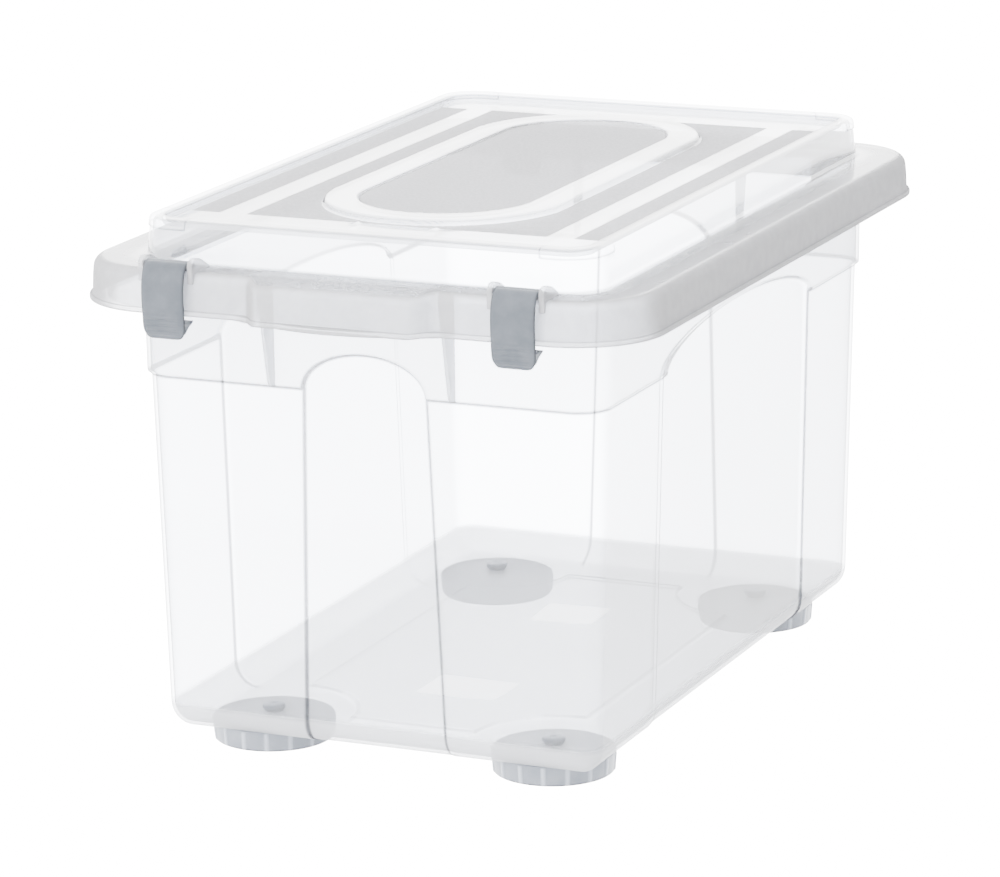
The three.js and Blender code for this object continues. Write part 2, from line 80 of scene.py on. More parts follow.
# Lid: a skirt and ledge on one base rectangle, and a raised top on another.
SKIRT_BASE = (145.0, 236.0)
TOP_BASE = (137.6, 233.0)
LID_WALL = 2.2
LID_CORNER = 59.0
TOP_CORNER = 25.0
TOP_LEAN = 2.5
TOP_ROUND = 2.4
TOP_RIM = 10.0
SKIRT_LIP = 2.0
SKIRT_LEAN = 1.2
LIP_HEIGHT = 3.5
LEDGE_ROUND = 7.5
LOCATOR_DROP = 6.0
LOCATOR = 21.2
RING = (84.0, 201.0)
RING_WIDTH = 23.0
RING_RISE = 4.0
FIELD_DROP = 1.6
CAP_REACH = 36.0
CAP_STEP = 0.9
GRIP_HALF = 61.0
GRIP_DEPTH = 12.0
GRIP_DROOP = 2.5
FINGER_LIP = (70.0, 18.0)
TICKS = (-26.0, 30.0)

# The grids' spacing, and the zones where it is finer: middle, reach and spacing of each.
TUB_SPACING = (3.0, 3.5)
TUB_FINE_ACROSS = [(48.0, 6.0, 1.0), (35.0, 14.0, 1.5), (64.0, 8.0, 1.2), (104.0, 4.0, 1.2)]
TUB_FINE_ALONG = [(140.5, 5.0, 0.8), (120.0, 18.0, 2.0), (191.5, 4.0, 1.2)]
LID_SPACING = (1.5, 1.6)
LID_FINE_ACROSS = [(65.0, 10.0, 1.2)]
LID_FINE_ALONG = [(234.0, 6.0, 1.2)]

# The lid's frosted zones: how far each reaches from the middle, and how sharply it ends.
FROST_END = 205.0
INNER_BAND = 109.0
OUTER_BAND = (128.0, 150.0)
FROST_REACH = 5.0

# Gussets under the hand grips, and the ears that hold the clips.
GUSSET_X = 65.0
GUSSET_WALL = 2.6
GUSSET_TOP = 21.0
GUSSET_FOOT = 8.0
COLLAR_Y = 258.7
HINGE = (124.5, 288.0, 350.5)
EAR_RADIUS = 5.6
EAR_WALL = 4.0
EAR_TAIL = 22.0
EAR_SHOULDER = 4.0
EAR_STEP = 289.6
GAP = 0.4

# Clips, drawn about the hinge with outward as minus Y.
CLIP_HALF = 15.5
CLIP_WALL = 2.6
CLIP_ROLL = 3.5
CLIP_FOOT = -48.3
CLIP_OUT = 10.0
CLIP_BOW = 1.4
CLIP_BELLY = 18.0
CLIP_KNEE = 32.0
CLIP_SHOULDER = 6.0
CLIP_TOE = 0.8
CLIP_END = 9.0
CLIP_NARROW = 6.3
TRUNNION = (2.0, 18.9)
HOOK_TOP = -37.0
HOOK_TIP = 4.0
RIDGES = 4
RIDGE_PITCH = 3.6
RIDGE_RISE = 1.1

# Castors: drums with ribs round them, a hub, cheeks for the roller, and the snap pin.
DRUM_LIFT = 3.0
DRUM_TOP = 17.3
DRUM_RADIUS = 42.2
DRUM_FOOT_RADIUS = 41.0
DRUM_WALL = 2.0
DRUM_RIBS = 16
RIB_RISE = 0.8
HUB_RADIUS = 10.0
HUB_UNDER = 13.0
BORE = 6.4
SPOKES = 4
SPOKE_DROP = 5.0
SPOKE_WALL = 1.6
ROLLER_OFFSET = 21.0
ROLLER_RADIUS = 7.2
ROLLER_HALF = 7.0
CHEEK_WALL = 3.0
AXLE_RADIUS = 1.5
PIN_RADIUS = 6.0
PIN_FLANGE = 8.5
PIN_HEAD = 7.8
PIN_TOP = 25.3
HEADINGS = {"front_left": 176.25, "front_right": 35.5, "back_left": 20.0, "back_right": 171.0}

# Plain white labels on the floor: middle, size and turn.
LABELS = {
    "label_front": ((2.5, -103.5), (59.0, 43.0), 0.0),
    "label_back": ((-1.5, 90.0), (47.0, 44.0), 4.0),
}
LABEL_WALL = 0.2

# Plastics: dark and light shade, roughness, grain's scale and depth.
CLIP_PLASTIC = ((0.06, 0.069, 0.083), (0.092, 0.103, 0.12), 0.38, 900.0, 0.0002)
CASTOR_PLASTIC = ((0.22, 0.24, 0.28), (0.29, 0.31, 0.35), 0.45, 900.0, 0.0002)
PIN_PLASTIC = ((0.08, 0.095, 0.125), (0.11, 0.125, 0.16), 0.4, 900.0, 0.0002)
ROLLER_PLASTIC = ((0.2, 0.21, 0.23), (0.26, 0.27, 0.3), 0.4, 700.0, 0.0002)
LABEL_PAPER = ((0.86, 0.86, 0.86), (0.9, 0.9, 0.9), 0.6, 1500.0, 0.0001)
PLASTIC_SHEEN = 0.12
PAPER_SHEEN = 0.5
# The labels' painted glow: the paper lights itself up.
PAPER_PAINTED_GLOW = 3.0

# Clear mouldings: the colour that passes at each step from face on to edge on.
FACINGS = (0.0, 0.3, 0.6, 0.85, 1.0)
TUB_TINTS = (0.92, 0.88, 0.77, 0.42, 0.08)
LID_TINTS = (0.93, 0.9, 0.8, 0.5, 0.12)
# Painted shade: the colour of the dark lines painted along the clear mouldings' steps.
PAINTED_EDGE_SHADE = (0.16, 0.16, 0.17)

# The camera: where it looks, how far off it stands, and how it is turned (metres, degrees).
VIEW_TARGET = Vector((-0.0106, -0.0125, 0.1782))
VIEW_DISTANCE = 3.398
VIEW_AZIMUTH = 23.71
VIEW_ELEVATION = 14.15
VIEW_ROLL = -0.795
VIEW_LENS = 173.8

# The studio: a pale floor and backdrop that read as white, soft light all round and two panels.
FLOOR_SIZE = 14.0
BACKDROP = 20.0
SKY_BRIGHT_SIDE = (-0.6, -0.5, 0.6)
WHITE = (1.0, 1.0, 1.0, 1.0)
SKY_DARK = 0.2
SKY_BRIGHT = 5.4
PANELS = [
    # place, size, power
    ((-1.6, -3.0, 1.9), 1.6, 70.0),
    ((0.4, 2.6, 3.0), 2.2, 40.0),
]


# ---------------------------------------------------------------- shapes

def smooth(low, high, value):
    step = np.clip((value - low) / (high - low), 0.0, 1.0)
    return step * step * (3.0 - 2.0 * step)


def spread(limit, spacing, dense):
    """Places from -limit to limit, closer together near the centre, reach and spacing of each zone."""
    places = [-limit]
    while places[-1] < limit:
        here = abs(places[-1])
        steps = [fine for centre, reach, fine in dense if abs(here - centre) < reach]
        places.append(places[-1] + min(steps + [spacing]))
    places[-1] = limit
    return np.array(places)


class Stations:
    """Places round a rounded rectangle, each with its outward direction and its wall."""

    def __init__(self, base, across, along, corner_steps):
        self.base = np.array(base)
        self.across = across / base[0]
        self.along = along / base[1]
        rows = []
        turn = np.linspace(0.0, math.pi / 2, corner_steps + 2)[1:-1]
        walls = [
            (np.ones_like(self.along), self.along, 0.0, "side"),
            (self.across[::-1], np.ones_like(self.across), 90.0, "end"),
            (-np.ones_like(self.along), self.along[::-1], 180.0, "side"),
            (self.across, -np.ones_like(self.across), 270.0, "end"),
        ]
        for x, y, degrees, wall in walls:
            facing = math.radians(degrees)
            rows += [(px, py, math.cos(facing), math.sin(facing), wall) for px, py in zip(x, y)]
            rows += [(x[-1], y[-1], math.cos(facing + t), math.sin(facing + t), "corner") for t in turn]
        self.x, self.y, self.out_x, self.out_y = np.array([row[:4] for row in rows]).T
        self.wall = np.array([row[4] for row in rows])
        self.on_end = self.wall == "end"
        self.on_side = self.wall == "side"
        self.u = np.where(self.on_end, self.x * base[0], self.y * base[1])

    def ring(self, offset, z, base=None):
        """A row of points at a height, pushed out from the base rectangle by an offset."""
        base = self.base if base is None else np.array(base)
        offset = np.broadcast_to(offset, self.x.shape)
        shrink = np.minimum(offset, 0.0)
        out = np.maximum(offset, 0.0)
        x = self.x * (base[0] + shrink) + self.out_x * out
        y = self.y * (base[1] + shrink) + self.out_y * out
        return np.stack([x, y, np.broadcast_to(z, x.shape)], axis=1)


class Rings:
    """Rows of points round a shell, each with its marks: how far each look of the plastic shows there, and
    how strong the painted shade lines are.
    """

    def __init__(self, stations, **defaults):
        self.stations = stations
        self.defaults = defaults
        self.rows = []
        self.marks = {name: [] for name in defaults}

    def add(self, offset, z, base=None, **marks):
        row = self.stations.ring(offset, z, base)
        self.rows.append(row)
        for name, plain in self.defaults.items():
            self.marks[name].append(np.broadcast_to(marks.get(name, plain), self.stations.x.shape))

    def values(self, **grids):
        """All the marks of a closed shell, its lower grid first and then its upper one."""
        return {
            name: np.concatenate(rows + [grid.ravel() for grid in grids[name]])
            for name, rows in self.marks.items()
        }


def quarter(count):
    return [math.radians(90.0 * i / count) for i in range(count + 1)]


def sheet_faces(rows, columns, first, wrap):
    """Quads between neighbouring rows of points."""
    i, j = np.meshgrid(np.arange(rows - 1), np.arange(columns if wrap else columns - 1), indexing="ij")
    after = (j + 1) % columns
    quads = [i * columns + j, i * columns + after, (i + 1) * columns + after, (i + 1) * columns + j]
    return (np.stack(quads, axis=-1).reshape(-1, 4) + first).tolist()


def closed_shell(name, rows, upper, lower, values):
    """A shell from rings of points, closed by a grid inside its first ring and one inside its last."""
    columns = len(rows[0])
    points = [np.concatenate(rows)]
    faces = sheet_faces(len(rows), columns, 0, True)
    loose = list(range(columns)) + list(range((len(rows) - 1) * columns, len(rows) * columns))
    first = len(points[0])
    for grid, flip in ((lower, False), (upper, True)):
        height, width = grid.shape[:2]
        quads = sheet_faces(height, width, first, False)
        faces += [quad[::-1] for quad in quads] if flip else quads
        index = np.arange(first, first + height * width).reshape(height, width)
        edges = [index[0], index[-1], index[:, 0], index[:, -1]]
        loose += np.concatenate(edges).tolist()
        points.append(grid.reshape(-1, 3))
        first += height * width
    mesh = bpy.data.meshes.new(name)
    mesh.from_pydata((np.concatenate(points) * MM).tolist(), [], faces)
    for key, data in values.items():
        attribute = mesh.attributes.new(key, "FLOAT", "POINT")
        attribute.data.foreach_set("value", data.astype(np.float32))
    shell = bmesh.new()
    shell.from_mesh(mesh)
    shell.verts.ensure_lookup_table()
    seam = [shell.verts[i] for i in sorted(set(loose))]
    bmesh.ops.remove_doubles(shell, verts=seam, dist=MM * SAME_POINT)
    bmesh.ops.recalc_face_normals(shell, faces=shell.faces)
    shell.to_mesh(mesh)
    shell.free()
    return finish_object(name, mesh)


def add_object(name, data):
    obj = bpy.data.objects.new(name, data)
    bpy.context.scene.collection.objects.link(obj)
    return obj


def finish_object(name, mesh):
    mesh.shade_smooth()
    obj = add_object(name, mesh)
    normals = obj.modifiers.new("face weights", "WEIGHTED_NORMAL")
    normals.keep_sharp = False
    return obj


def stadium_depth(x, y, half_width, half_length):
    """How far inside an oblong with half-round ends a place is."""
    beyond = np.maximum(np.abs(y) - (half_length - half_width), 0.0)
    return half_width - np.hypot(x, beyond)


def bezier(corners, count):
    """Points along a Bezier curve."""
    share = np.linspace(0.0, 1.0, count)[:, None]
    points = [np.array(corner, dtype=float) for corner in corners]
    while len(points) > 1:
        points = [near * (1.0 - share) + far * share for near, far in zip(points, points[1:])]
    return points[0]


def placed(points, place=(0.0, 0.0, 0.0), degrees=0.0):
    """Points turned about Z and moved to a place."""
    turn = math.radians(degrees)
    x = points[:, 0] * math.cos(turn) - points[:, 1] * math.sin(turn)
    y = points[:, 0] * math.sin(turn) + points[:, 1] * math.cos(turn)
    return np.stack([x, y, points[:, 2]], axis=1) + np.array(place)


class Moulding:
    """Collects the closed shapes of one piece at one place and heading."""

    def __init__(self, place=(0.0, 0.0, 0.0), degrees=0.0):
        self.place = place
        self.degrees = degrees
        self.shape = bmesh.new()
        self.marks = {name: self.shape.verts.layers.float.new(name) for name in ("line", "rib")}

    def add(self, points, faces, bevel=0.0, **marks):
        points = placed(points, self.place, self.degrees) * MM
        verts = [self.shape.verts.new(point) for point in points]
        for name, values in marks.items():
            for vert, value in zip(verts, values):
                vert[self.marks[name]] = float(value)
        made = [self.shape.faces.new([verts[i] for i in face]) for face in faces]
        bmesh.ops.recalc_face_normals(self.shape, faces=made)
        if bevel:
            edges = list({edge for face in made for edge in face.edges})
            bmesh.ops.bevel(
                self.shape, geom=edges, offset=bevel * MM, segments=2, profile=0.5, affect="EDGES",
                clamp_overlap=True,
            )
        else:
            bmesh.ops.remove_doubles(self.shape, verts=verts, dist=MM * SAME_POINT)

    def prism(self, outline, low, high, bevel):
        """An outline drawn in Y and Z between two places along X."""
        outline = np.array(outline)
        count = len(outline)
        near, far = (np.column_stack([np.full(count, x), outline]) for x in (low, high))
        sides = [(i, (i + 1) % count, count + (i + 1) % count, count + i) for i in range(count)]
        caps = [tuple(range(count)), tuple(range(2 * count - 1, count - 1, -1))]
        self.add(np.concatenate([near, far]), sides + caps, bevel)

    def block(self, low, high, bevel):
        """A box between two corners."""
        (low_x, low_y, low_z), (high_x, high_y, high_z) = low, high
        outline = [(low_y, low_z), (high_y, low_z), (high_y, high_z), (low_y, high_z)]
        self.prism(outline, low_x, high_x, bevel)

    def turned(self, profile, steps, axis="Z", centre=(0.0, 0.0, 0.0), swell=None, **marks):
        """A profile of radius and height turned about an axis, with its radius swollen if asked."""
        radius, height = np.array(profile).T[:, :, None]
        angle = np.linspace(0.0, 2.0 * math.pi, steps, endpoint=False)
        radius = np.broadcast_to(radius, (len(profile), steps))
        if swell is not None:
            radius = radius + swell(angle, height)
        height = np.broadcast_to(height, radius.shape)
        a, b, h = (radius * np.cos(angle)).ravel(), (radius * np.sin(angle)).ravel(), height.ravel()
        order = {"X": (h, a, b), "Y": (a, h, b), "Z": (a, b, h)}[axis]
        marks = {name: mark(angle, height).ravel() for name, mark in marks.items()}
        points = np.stack(order, axis=1) + np.array(centre)
        self.add(points, sheet_faces(len(profile), steps, 0, True), **marks)

    def finish(self, name):
        mesh = bpy.data.meshes.new(name)
        self.shape.to_mesh(mesh)
        self.shape.free()
        return finish_object(name, mesh)


# ---------------------------------------------------------------- tub

def wall_inset(z):
    return COLLAR_STEP + WALL_LEAN * (COLLAR_FOOT - z) / (COLLAR_FOOT - TUB_UNDER)


def arch_depth(stations, z):
    """How far inside an arched panel each station is at a height."""
    depth = np.full(stations.u.shape, -50.0)
    for (half, foot), chosen in ((END_ARCH, stations.on_end), (SIDE_ARCH, stations.on_side)):
        u = np.abs(stations.u[chosen])
        if z < COLLAR_FOOT:
            leg = half + (foot - half) * (COLLAR_FOOT - z) / (COLLAR_FOOT - TUB_UNDER)
            depth[chosen] = leg - u
            continue
        rise = z - COLLAR_FOOT
        reach = np.hypot(u / half, rise / ARCH_RISE)
        slope = np.hypot(u / half**2, rise / ARCH_RISE**2) / np.maximum(reach, 1e-6)
        depth[chosen] = (1.0 - reach) / np.maximum(slope, 1e-6)
    return depth


def wall_offset(stations, z):
    """How far the tub's outside stands from the base rectangle at a height."""
    wall = TUB_CORNER - wall_inset(z)
    collar = TUB_CORNER + COLLAR_LEAN * (z - COLLAR_FOOT) / (RIM_TOP - COLLAR_FOOT)
    plain = wall + (collar - wall) * smooth(COLLAR_FOOT - STEP_ROUND, COLLAR_FOOT + STEP_ROUND, z)
    inside = smooth(-STEP_ROUND, STEP_ROUND, arch_depth(stations, z))
    return plain + (wall - ARCH_RECESS - plain) * inside


def line_strength(stations, z):
    """The painted shade line's strength: one along the middle of every step in the wall, fading to nothing
    beside it.
    """
    arch = arch_depth(stations, z)
    collar = np.where(arch < 0.0, z - COLLAR_FOOT, 50.0)
    strength = np.maximum(np.exp(-(arch / LINE_WIDTH) ** 2), np.exp(-(collar / LINE_WIDTH) ** 2))
    return np.where(stations.on_side & (z > COLLAR_FOOT + 2.0), 0.7, 1.0) * strength


def grip_swell(stations, half, edge):
    return np.where(stations.on_end, smooth(half + edge, half - edge, np.abs(stations.u)), 0.0)


def wall_heights(foot):
    plain = np.concatenate([[foot, foot + 3.0], np.arange(foot + 8.0, COLLAR_FOOT - 4.0, 8.0)])
    head = np.arange(COLLAR_FOOT - 3.0, COLLAR_FOOT + ARCH_RISE + 4.0, 1.0)
    top = np.arange(COLLAR_FOOT + ARCH_RISE + 5.0, RIM_TOP - 8.0, 8.0)
    return np.concatenate([plain, head, top]).tolist()


def tub_milk(stations, z):
    """How milky the tub is: the thick fillet round its base, and the collar outside the arches."""
    outside = smooth(1.0, -1.0, arch_depth(stations, z))
    collar = 0.4 * smooth(COLLAR_FOOT - 1.0, COLLAR_FOOT + 1.0, z) * outside
    fillet_top = TUB_UNDER + BASE_FILLET
    return collar + 1.15 * smooth(fillet_top + 1.5, fillet_top - 1.5, z)


def tub_rows(stations):
    """The tub's rings: up the outside, over the rim and down the inside."""
    rings = Rings(stations, line=0.0, milk=0.0)

    def add(offset, z, line=0.0, milk=0.1):
        rings.add(offset, z, line=line, milk=milk)

    add(-BASE_FILLET / 3, TUB_UNDER, milk=1.0)
    for angle in quarter(8):
        z = TUB_UNDER + BASE_FILLET * (1.0 - math.cos(angle))
        offset = wall_offset(stations, z) - BASE_FILLET * (1.0 - math.sin(angle))
        add(offset, z, line_strength(stations, z), tub_milk(stations, z))
    for z in wall_heights(TUB_UNDER + BASE_FILLET + 1.0):
        add(wall_offset(stations, z), z, line_strength(stations, z), tub_milk(stations, z))
    neck = TUB_CORNER + COLLAR_LEAN
    edge = TUB_CORNER + RIM_OVERHANG + grip_swell(stations, GRIP_HALF, 6.0) * (GRIP_DEPTH - LID_WALL - 0.4)
    under = RIM_TOP - TUB_WALL
    for angle in quarter(4):
        add(neck + RIM_ROUND * (1.0 - math.cos(angle)), under - RIM_ROUND + RIM_ROUND * math.sin(angle))
    for angle in quarter(3):
        add(edge - TUB_WALL - 2.0 + 2.0 * math.sin(angle), under - 2.0 + 2.0 * math.cos(angle))
    foot = RIM_TOP - RIM_DROP
    for share, lift in ((1.0, 1.0), (0.75, 0.3), (0.5, 0.0), (0.25, 0.3), (0.0, 1.0)):
        add(edge - TUB_WALL * share, foot + lift)
    for angle in quarter(4):
        z = RIM_TOP - RIM_ROUND + RIM_ROUND * math.sin(angle)
        add(edge - RIM_ROUND + RIM_ROUND * math.cos(angle), z)
    for angle in quarter(3):
        add(neck - TUB_WALL + 1.0 - math.sin(angle), RIM_TOP - 1.0 + math.cos(angle))
    inner = BASE_FILLET - TUB_WALL
    for z in reversed(wall_heights(FLOOR_TOP + inner + 1.0)):
        add(wall_offset(stations, z) - TUB_WALL, z, milk=tub_milk(stations, z))
    for angle in reversed(quarter(8)):
        z = FLOOR_TOP + inner * (1.0 - math.cos(angle))
        offset = wall_offset(stations, z) - TUB_WALL - inner * (1.0 - math.sin(angle))
        add(offset, z, milk=tub_milk(stations, z))
    add(-BASE_FILLET / 3, FLOOR_TOP, milk=1.0)
    return rings


def floor_grid(stations, level, gate):
    """The floor inside its fillet: a raised panel cut back round each castor, and the gate mark."""
    shrink = BASE_FILLET / 3
    x, y = np.meshgrid(stations.across * (TUB_BASE[0] - shrink), stations.along * (TUB_BASE[1] - shrink))
    from_castor = np.hypot(np.abs(x) - CASTOR[0], np.abs(y) - CASTOR[1])
    depth = np.minimum(np.minimum(CASTOR[0] - np.abs(x), CASTOR[1] - np.abs(y)), from_castor - PANEL_ARC)
    rise = PANEL_RISE * smooth(-1.0, 1.0, depth)
    mark = gate * smooth(GATE_RADIUS + 0.8, GATE_RADIUS - 0.8, np.hypot(x, y))
    # Painted shade line along the raised panel's edge.
    line = 0.7 * np.exp(-(depth / 1.5) ** 2)
    return np.stack([x, y, level + rise + mark], axis=-1), line


def make_tub():
    """The whole tub: walls, rim and floor as one closed shell."""
    across = spread(TUB_BASE[0], TUB_SPACING[0], TUB_FINE_ACROSS)
    along = spread(TUB_BASE[1], TUB_SPACING[1], TUB_FINE_ALONG)
    stations = Stations(TUB_BASE, across, along, 14)
    rings = tub_rows(stations)
    under, line = floor_grid(stations, TUB_UNDER, 0.0)
    over, _ = floor_grid(stations, FLOOR_TOP, GATE_RISE)
    milk = np.ones_like(line)
    values = rings.values(line=(line * 0.0, line), milk=(milk, milk))
    return closed_shell("tub_shell", rings.rows, over, under, values)


def make_gussets():
    """Upright plates under each hand grip, narrower towards the collar's foot."""
    wall = -COLLAR_Y + 1.2
    heel = -COLLAR_Y - GUSSET_FOOT
    foot = bezier([(wall, COLLAR_FOOT), (heel + 1.0, COLLAR_FOOT), (heel, COLLAR_FOOT + 9.0)], 7)
    top = [(-COLLAR_Y - GUSSET_TOP, RIM_TOP - TUB_WALL), (wall, RIM_TOP - TUB_WALL)]
    outline = np.concatenate([foot, top])
    plates = Moulding()
    for end in (1.0, -1.0):
        for x in (-GUSSET_X, GUSSET_X):
            low = x - GUSSET_WALL / 2
            plates.prism(outline * (end, 1.0), low, low + GUSSET_WALL, 0.7)
    return plates.finish("tub_gussets")


def make_label(name, middle, size, degrees):
    """A thin printed sheet lying on the floor, one corner a little lifted."""
    x, y = np.meshgrid(np.linspace(-0.5, 0.5, 41), np.linspace(-0.5, 0.5, 31))
    lift = 1.4 * smooth(0.55, 1.0, x - y) + 0.25 * np.sin(5.0 * x) * np.cos(4.0 * y)
    level = FLOOR_TOP + PANEL_RISE + 0.3 + lift
    under = np.stack([x * size[0], y * size[1], level], axis=-1).reshape(-1, 3)
    top = under + np.array([0.0, 0.0, LABEL_WALL])
    bars = (np.abs(x) < 0.4) & (np.abs((y + 0.5) % 0.25 - 0.125) < 0.04) & (y < 0.25)
    marks = np.concatenate([0.25 * bars.ravel(), np.zeros(bars.size)])
    sheet = sheet_faces(31, 41, 0, False)
    back = [[i + bars.size for i in quad[::-1]] for quad in sheet]
    index = np.arange(bars.size).reshape(31, 41)
    border = np.concatenate([index[0, :-1], index[:-1, -1], index[-1, :0:-1], index[:0:-1, 0]]).tolist()
    edge = [
        (i, border[(k + 1) % len(border)], border[(k + 1) % len(border)] + bars.size, i + bars.size)
        for k, i in enumerate(border)
    ]
    label = Moulding((*middle, 0.0), degrees)
    label.add(np.concatenate([top, under]), sheet + back + edge, line=marks)
    return label.finish(name)


# ---------------------------------------------------------------- lid

def lip_reach(u):
    """How far the finger lip under the hand grip stands out beyond the plain lip, an arc in plan."""
    half, reach = FINGER_LIP
    return reach * np.clip(1.0 - (u / half) ** 2, 0.0, 1.0)


def corner_caps(stations):
    """One at the raised top's thickened corners, nought between them."""
    u = np.abs(stations.u)
    on_end = smooth(-1.0, 1.0, u - (TOP_BASE[0] + TOP_CORNER - CAP_REACH))
    on_side = smooth(-1.0, 1.0, u - (TOP_BASE[1] + TOP_CORNER - CAP_REACH))
    return np.where(stations.wall == "corner", 1.0, np.where(stations.on_end, on_end, on_side))


def top_lean(z):
    return TOP_LEAN * (LID_TOP - z) / (LID_TOP - LEDGE_TOP)


def skirt_reach(z):
    return LID_CORNER - SKIRT_LIP - SKIRT_LEAN * (z - SKIRT_FOOT) / (LEDGE_TOP - SKIRT_FOOT)


def add_raised_top(rings, cap):
    """The panel's edge, the rim round it and the raised wall down to the ledge."""
    hollow = TOP_CORNER - TOP_RIM
    for share in (0.0, 0.2, 0.4, 0.6, 0.8):
        row = rings.stations.ring(hollow * share, PANEL_TOP)
        rings.add(hollow * share, PANEL_TOP, frost=frost_depth(row[:, 0], row[:, 1]))
    # The line marks along these rounds and steps are painted shade.
    for angle in quarter(4):
        rings.add(hollow - 1.5 + 1.5 * math.sin(angle), PANEL_TOP + 1.5 - 1.5 * math.cos(angle), line=0.8)
    for angle in quarter(3):
        rings.add(hollow + 1.0 - math.cos(angle), LID_TOP - 1.0 + math.sin(angle), line=0.6)
    edge = np.abs(cap - 0.5) < 0.49
    for angle in quarter(5):
        offset = TOP_CORNER - TOP_ROUND + TOP_ROUND * math.sin(angle) + cap * CAP_STEP * math.sin(angle)
        rings.add(offset, LID_TOP - TOP_ROUND + TOP_ROUND * math.cos(angle), line=edge * 0.8)
    for drop, share in ((4.0, 1.0), (6.6, 1.0), (7.6, 0.0), (12.0, 0.0), (18.0, 0.0)):
        z = LID_TOP - drop
        step = np.maximum(edge * share, cap * (6.0 < drop < 7.0))
        rings.add(TOP_CORNER + top_lean(z) + cap * CAP_STEP * share, z, line=step * 0.8)
    foot = TOP_CORNER + TOP_LEAN
    for angle in quarter(4):
        offset = foot + 2.5 * (1.0 - math.cos(angle))
        rings.add(offset, LEDGE_TOP + 2.5 - 2.5 * math.sin(angle), line=0.5 * math.sin(angle))


def add_skirt(rings, swell, reach):
    """The ledge, its rounded edge, the skirt with its hand grips, and the lip at its foot."""
    foot = TOP_CORNER + TOP_LEAN + 2.5
    edge = skirt_reach(LEDGE_TOP) - LEDGE_ROUND
    apart = np.array(SKIRT_BASE) - np.array(TOP_BASE)
    droop = swell * GRIP_DROOP
    grip = swell * GRIP_DEPTH
    for share in (0.1, 0.25, 0.4, 0.55, 0.7, 0.85):
        offset = foot * (1.0 - share) + edge * share + grip * share
        base = np.array(TOP_BASE) + apart * share
        z = LEDGE_TOP - droop * smooth(0.0, 1.0, share)
        rings.add(offset, z, base, skirt=0.35 * smooth(0.0, 0.5, share))
    for angle in quarter(7):
        z = LEDGE_TOP - LEDGE_ROUND * (1.0 - math.cos(angle)) - droop * math.cos(angle)
        skirt = 0.35 + 0.65 * smooth(0.0, 0.5, math.sin(angle))
        rings.add(edge + LEDGE_ROUND * math.sin(angle) + grip, z, SKIRT_BASE, skirt=skirt)
    lip_top = SKIRT_FOOT + LIP_HEIGHT
    for z in (LEDGE_TOP - LEDGE_ROUND - 5.0, lip_top + 7.0, lip_top + 2.0):
        rings.add(skirt_reach(z) + grip, z, SKIRT_BASE, skirt=1.0)
    # The line marks round the lip are painted shade.
    lip = LID_CORNER + reach
    for angle in quarter(3):
        offset = skirt_reach(lip_top) + grip + 1.0 - math.cos(angle)
        z = lip_top + 1.0 - math.sin(angle)
        rings.add(offset, z, SKIRT_BASE, skirt=1.0, line=0.6 * math.sin(angle))
    for angle in quarter(4):
        z = lip_top - 0.9 + 0.9 * math.cos(angle)
        rings.add(lip - 0.9 + 0.9 * math.sin(angle), z, SKIRT_BASE, skirt=1.0)
    for angle in quarter(4):
        z = SKIRT_FOOT + 0.9 - 0.9 * math.sin(angle)
        rings.add(lip - 0.9 + 0.9 * math.cos(angle), z, SKIRT_BASE, skirt=1.0, line=0.7 * math.sin(angle))


def add_under_side(rings, swell):
    """Back up inside the skirt, over the locating wall and along under the raised top."""
    grip = swell * GRIP_DEPTH
    inner = grip - LID_WALL
    lip_top = SKIRT_FOOT + LIP_HEIGHT
    rings.add(skirt_reach(SKIRT_FOOT) + inner + 0.5, SKIRT_FOOT, SKIRT_BASE, skirt=1.0)
    for z in (SKIRT_FOOT + 0.5, lip_top, LEDGE_TOP - LEDGE_ROUND - 4.0):
        rings.add(skirt_reach(z) + inner, z, SKIRT_BASE, skirt=1.0)
    small = LEDGE_ROUND - LID_WALL
    edge = skirt_reach(LEDGE_TOP) - LEDGE_ROUND
    for angle in reversed(quarter(5)):
        z = LEDGE_UNDER - small * (1.0 - math.cos(angle)) - swell * GRIP_DROOP * math.cos(angle)
        rings.add(edge + small * math.sin(angle) + grip, z, SKIRT_BASE, skirt=0.2 + 0.8 * math.sin(angle))
    foot = LEDGE_UNDER - LOCATOR_DROP
    rings.add(LOCATOR + 8.0, LEDGE_UNDER, TUB_BASE)
    rings.add(LOCATOR + 0.6, LEDGE_UNDER, TUB_BASE)
    rings.add(LOCATOR, LEDGE_UNDER - 0.6, TUB_BASE)
    rings.add(LOCATOR, foot + 0.5, TUB_BASE)
    rings.add(LOCATOR - LID_WALL / 2, foot, TUB_BASE)
    rings.add(LOCATOR - LID_WALL, foot + 0.5, TUB_BASE)
    for z in (LEDGE_TOP + 3.0, LEDGE_TOP + 12.0, LID_TOP - LID_WALL - 3.0):
        rings.add(TOP_CORNER + top_lean(z) - LID_WALL, z)
    hollow = TOP_CORNER - TOP_RIM + LID_WALL
    high = LID_TOP - LID_WALL
    low = PANEL_TOP - LID_WALL
    for angle in reversed(quarter(3)):
        rings.add(TOP_CORNER - LID_WALL - 1.5 + 1.5 * math.sin(angle), high - 1.5 + 1.5 * math.cos(angle))
    for angle in reversed(quarter(3)):
        rings.add(hollow + 0.8 - 0.8 * math.sin(angle), high - 0.8 + 0.8 * math.cos(angle))
    for angle in reversed(quarter(3)):
        rings.add(hollow - 2.0 + 2.0 * math.sin(angle), low + 2.0 - 2.0 * math.cos(angle))
    rings.add(hollow / 2, low)
    rings.add(0.0, low)


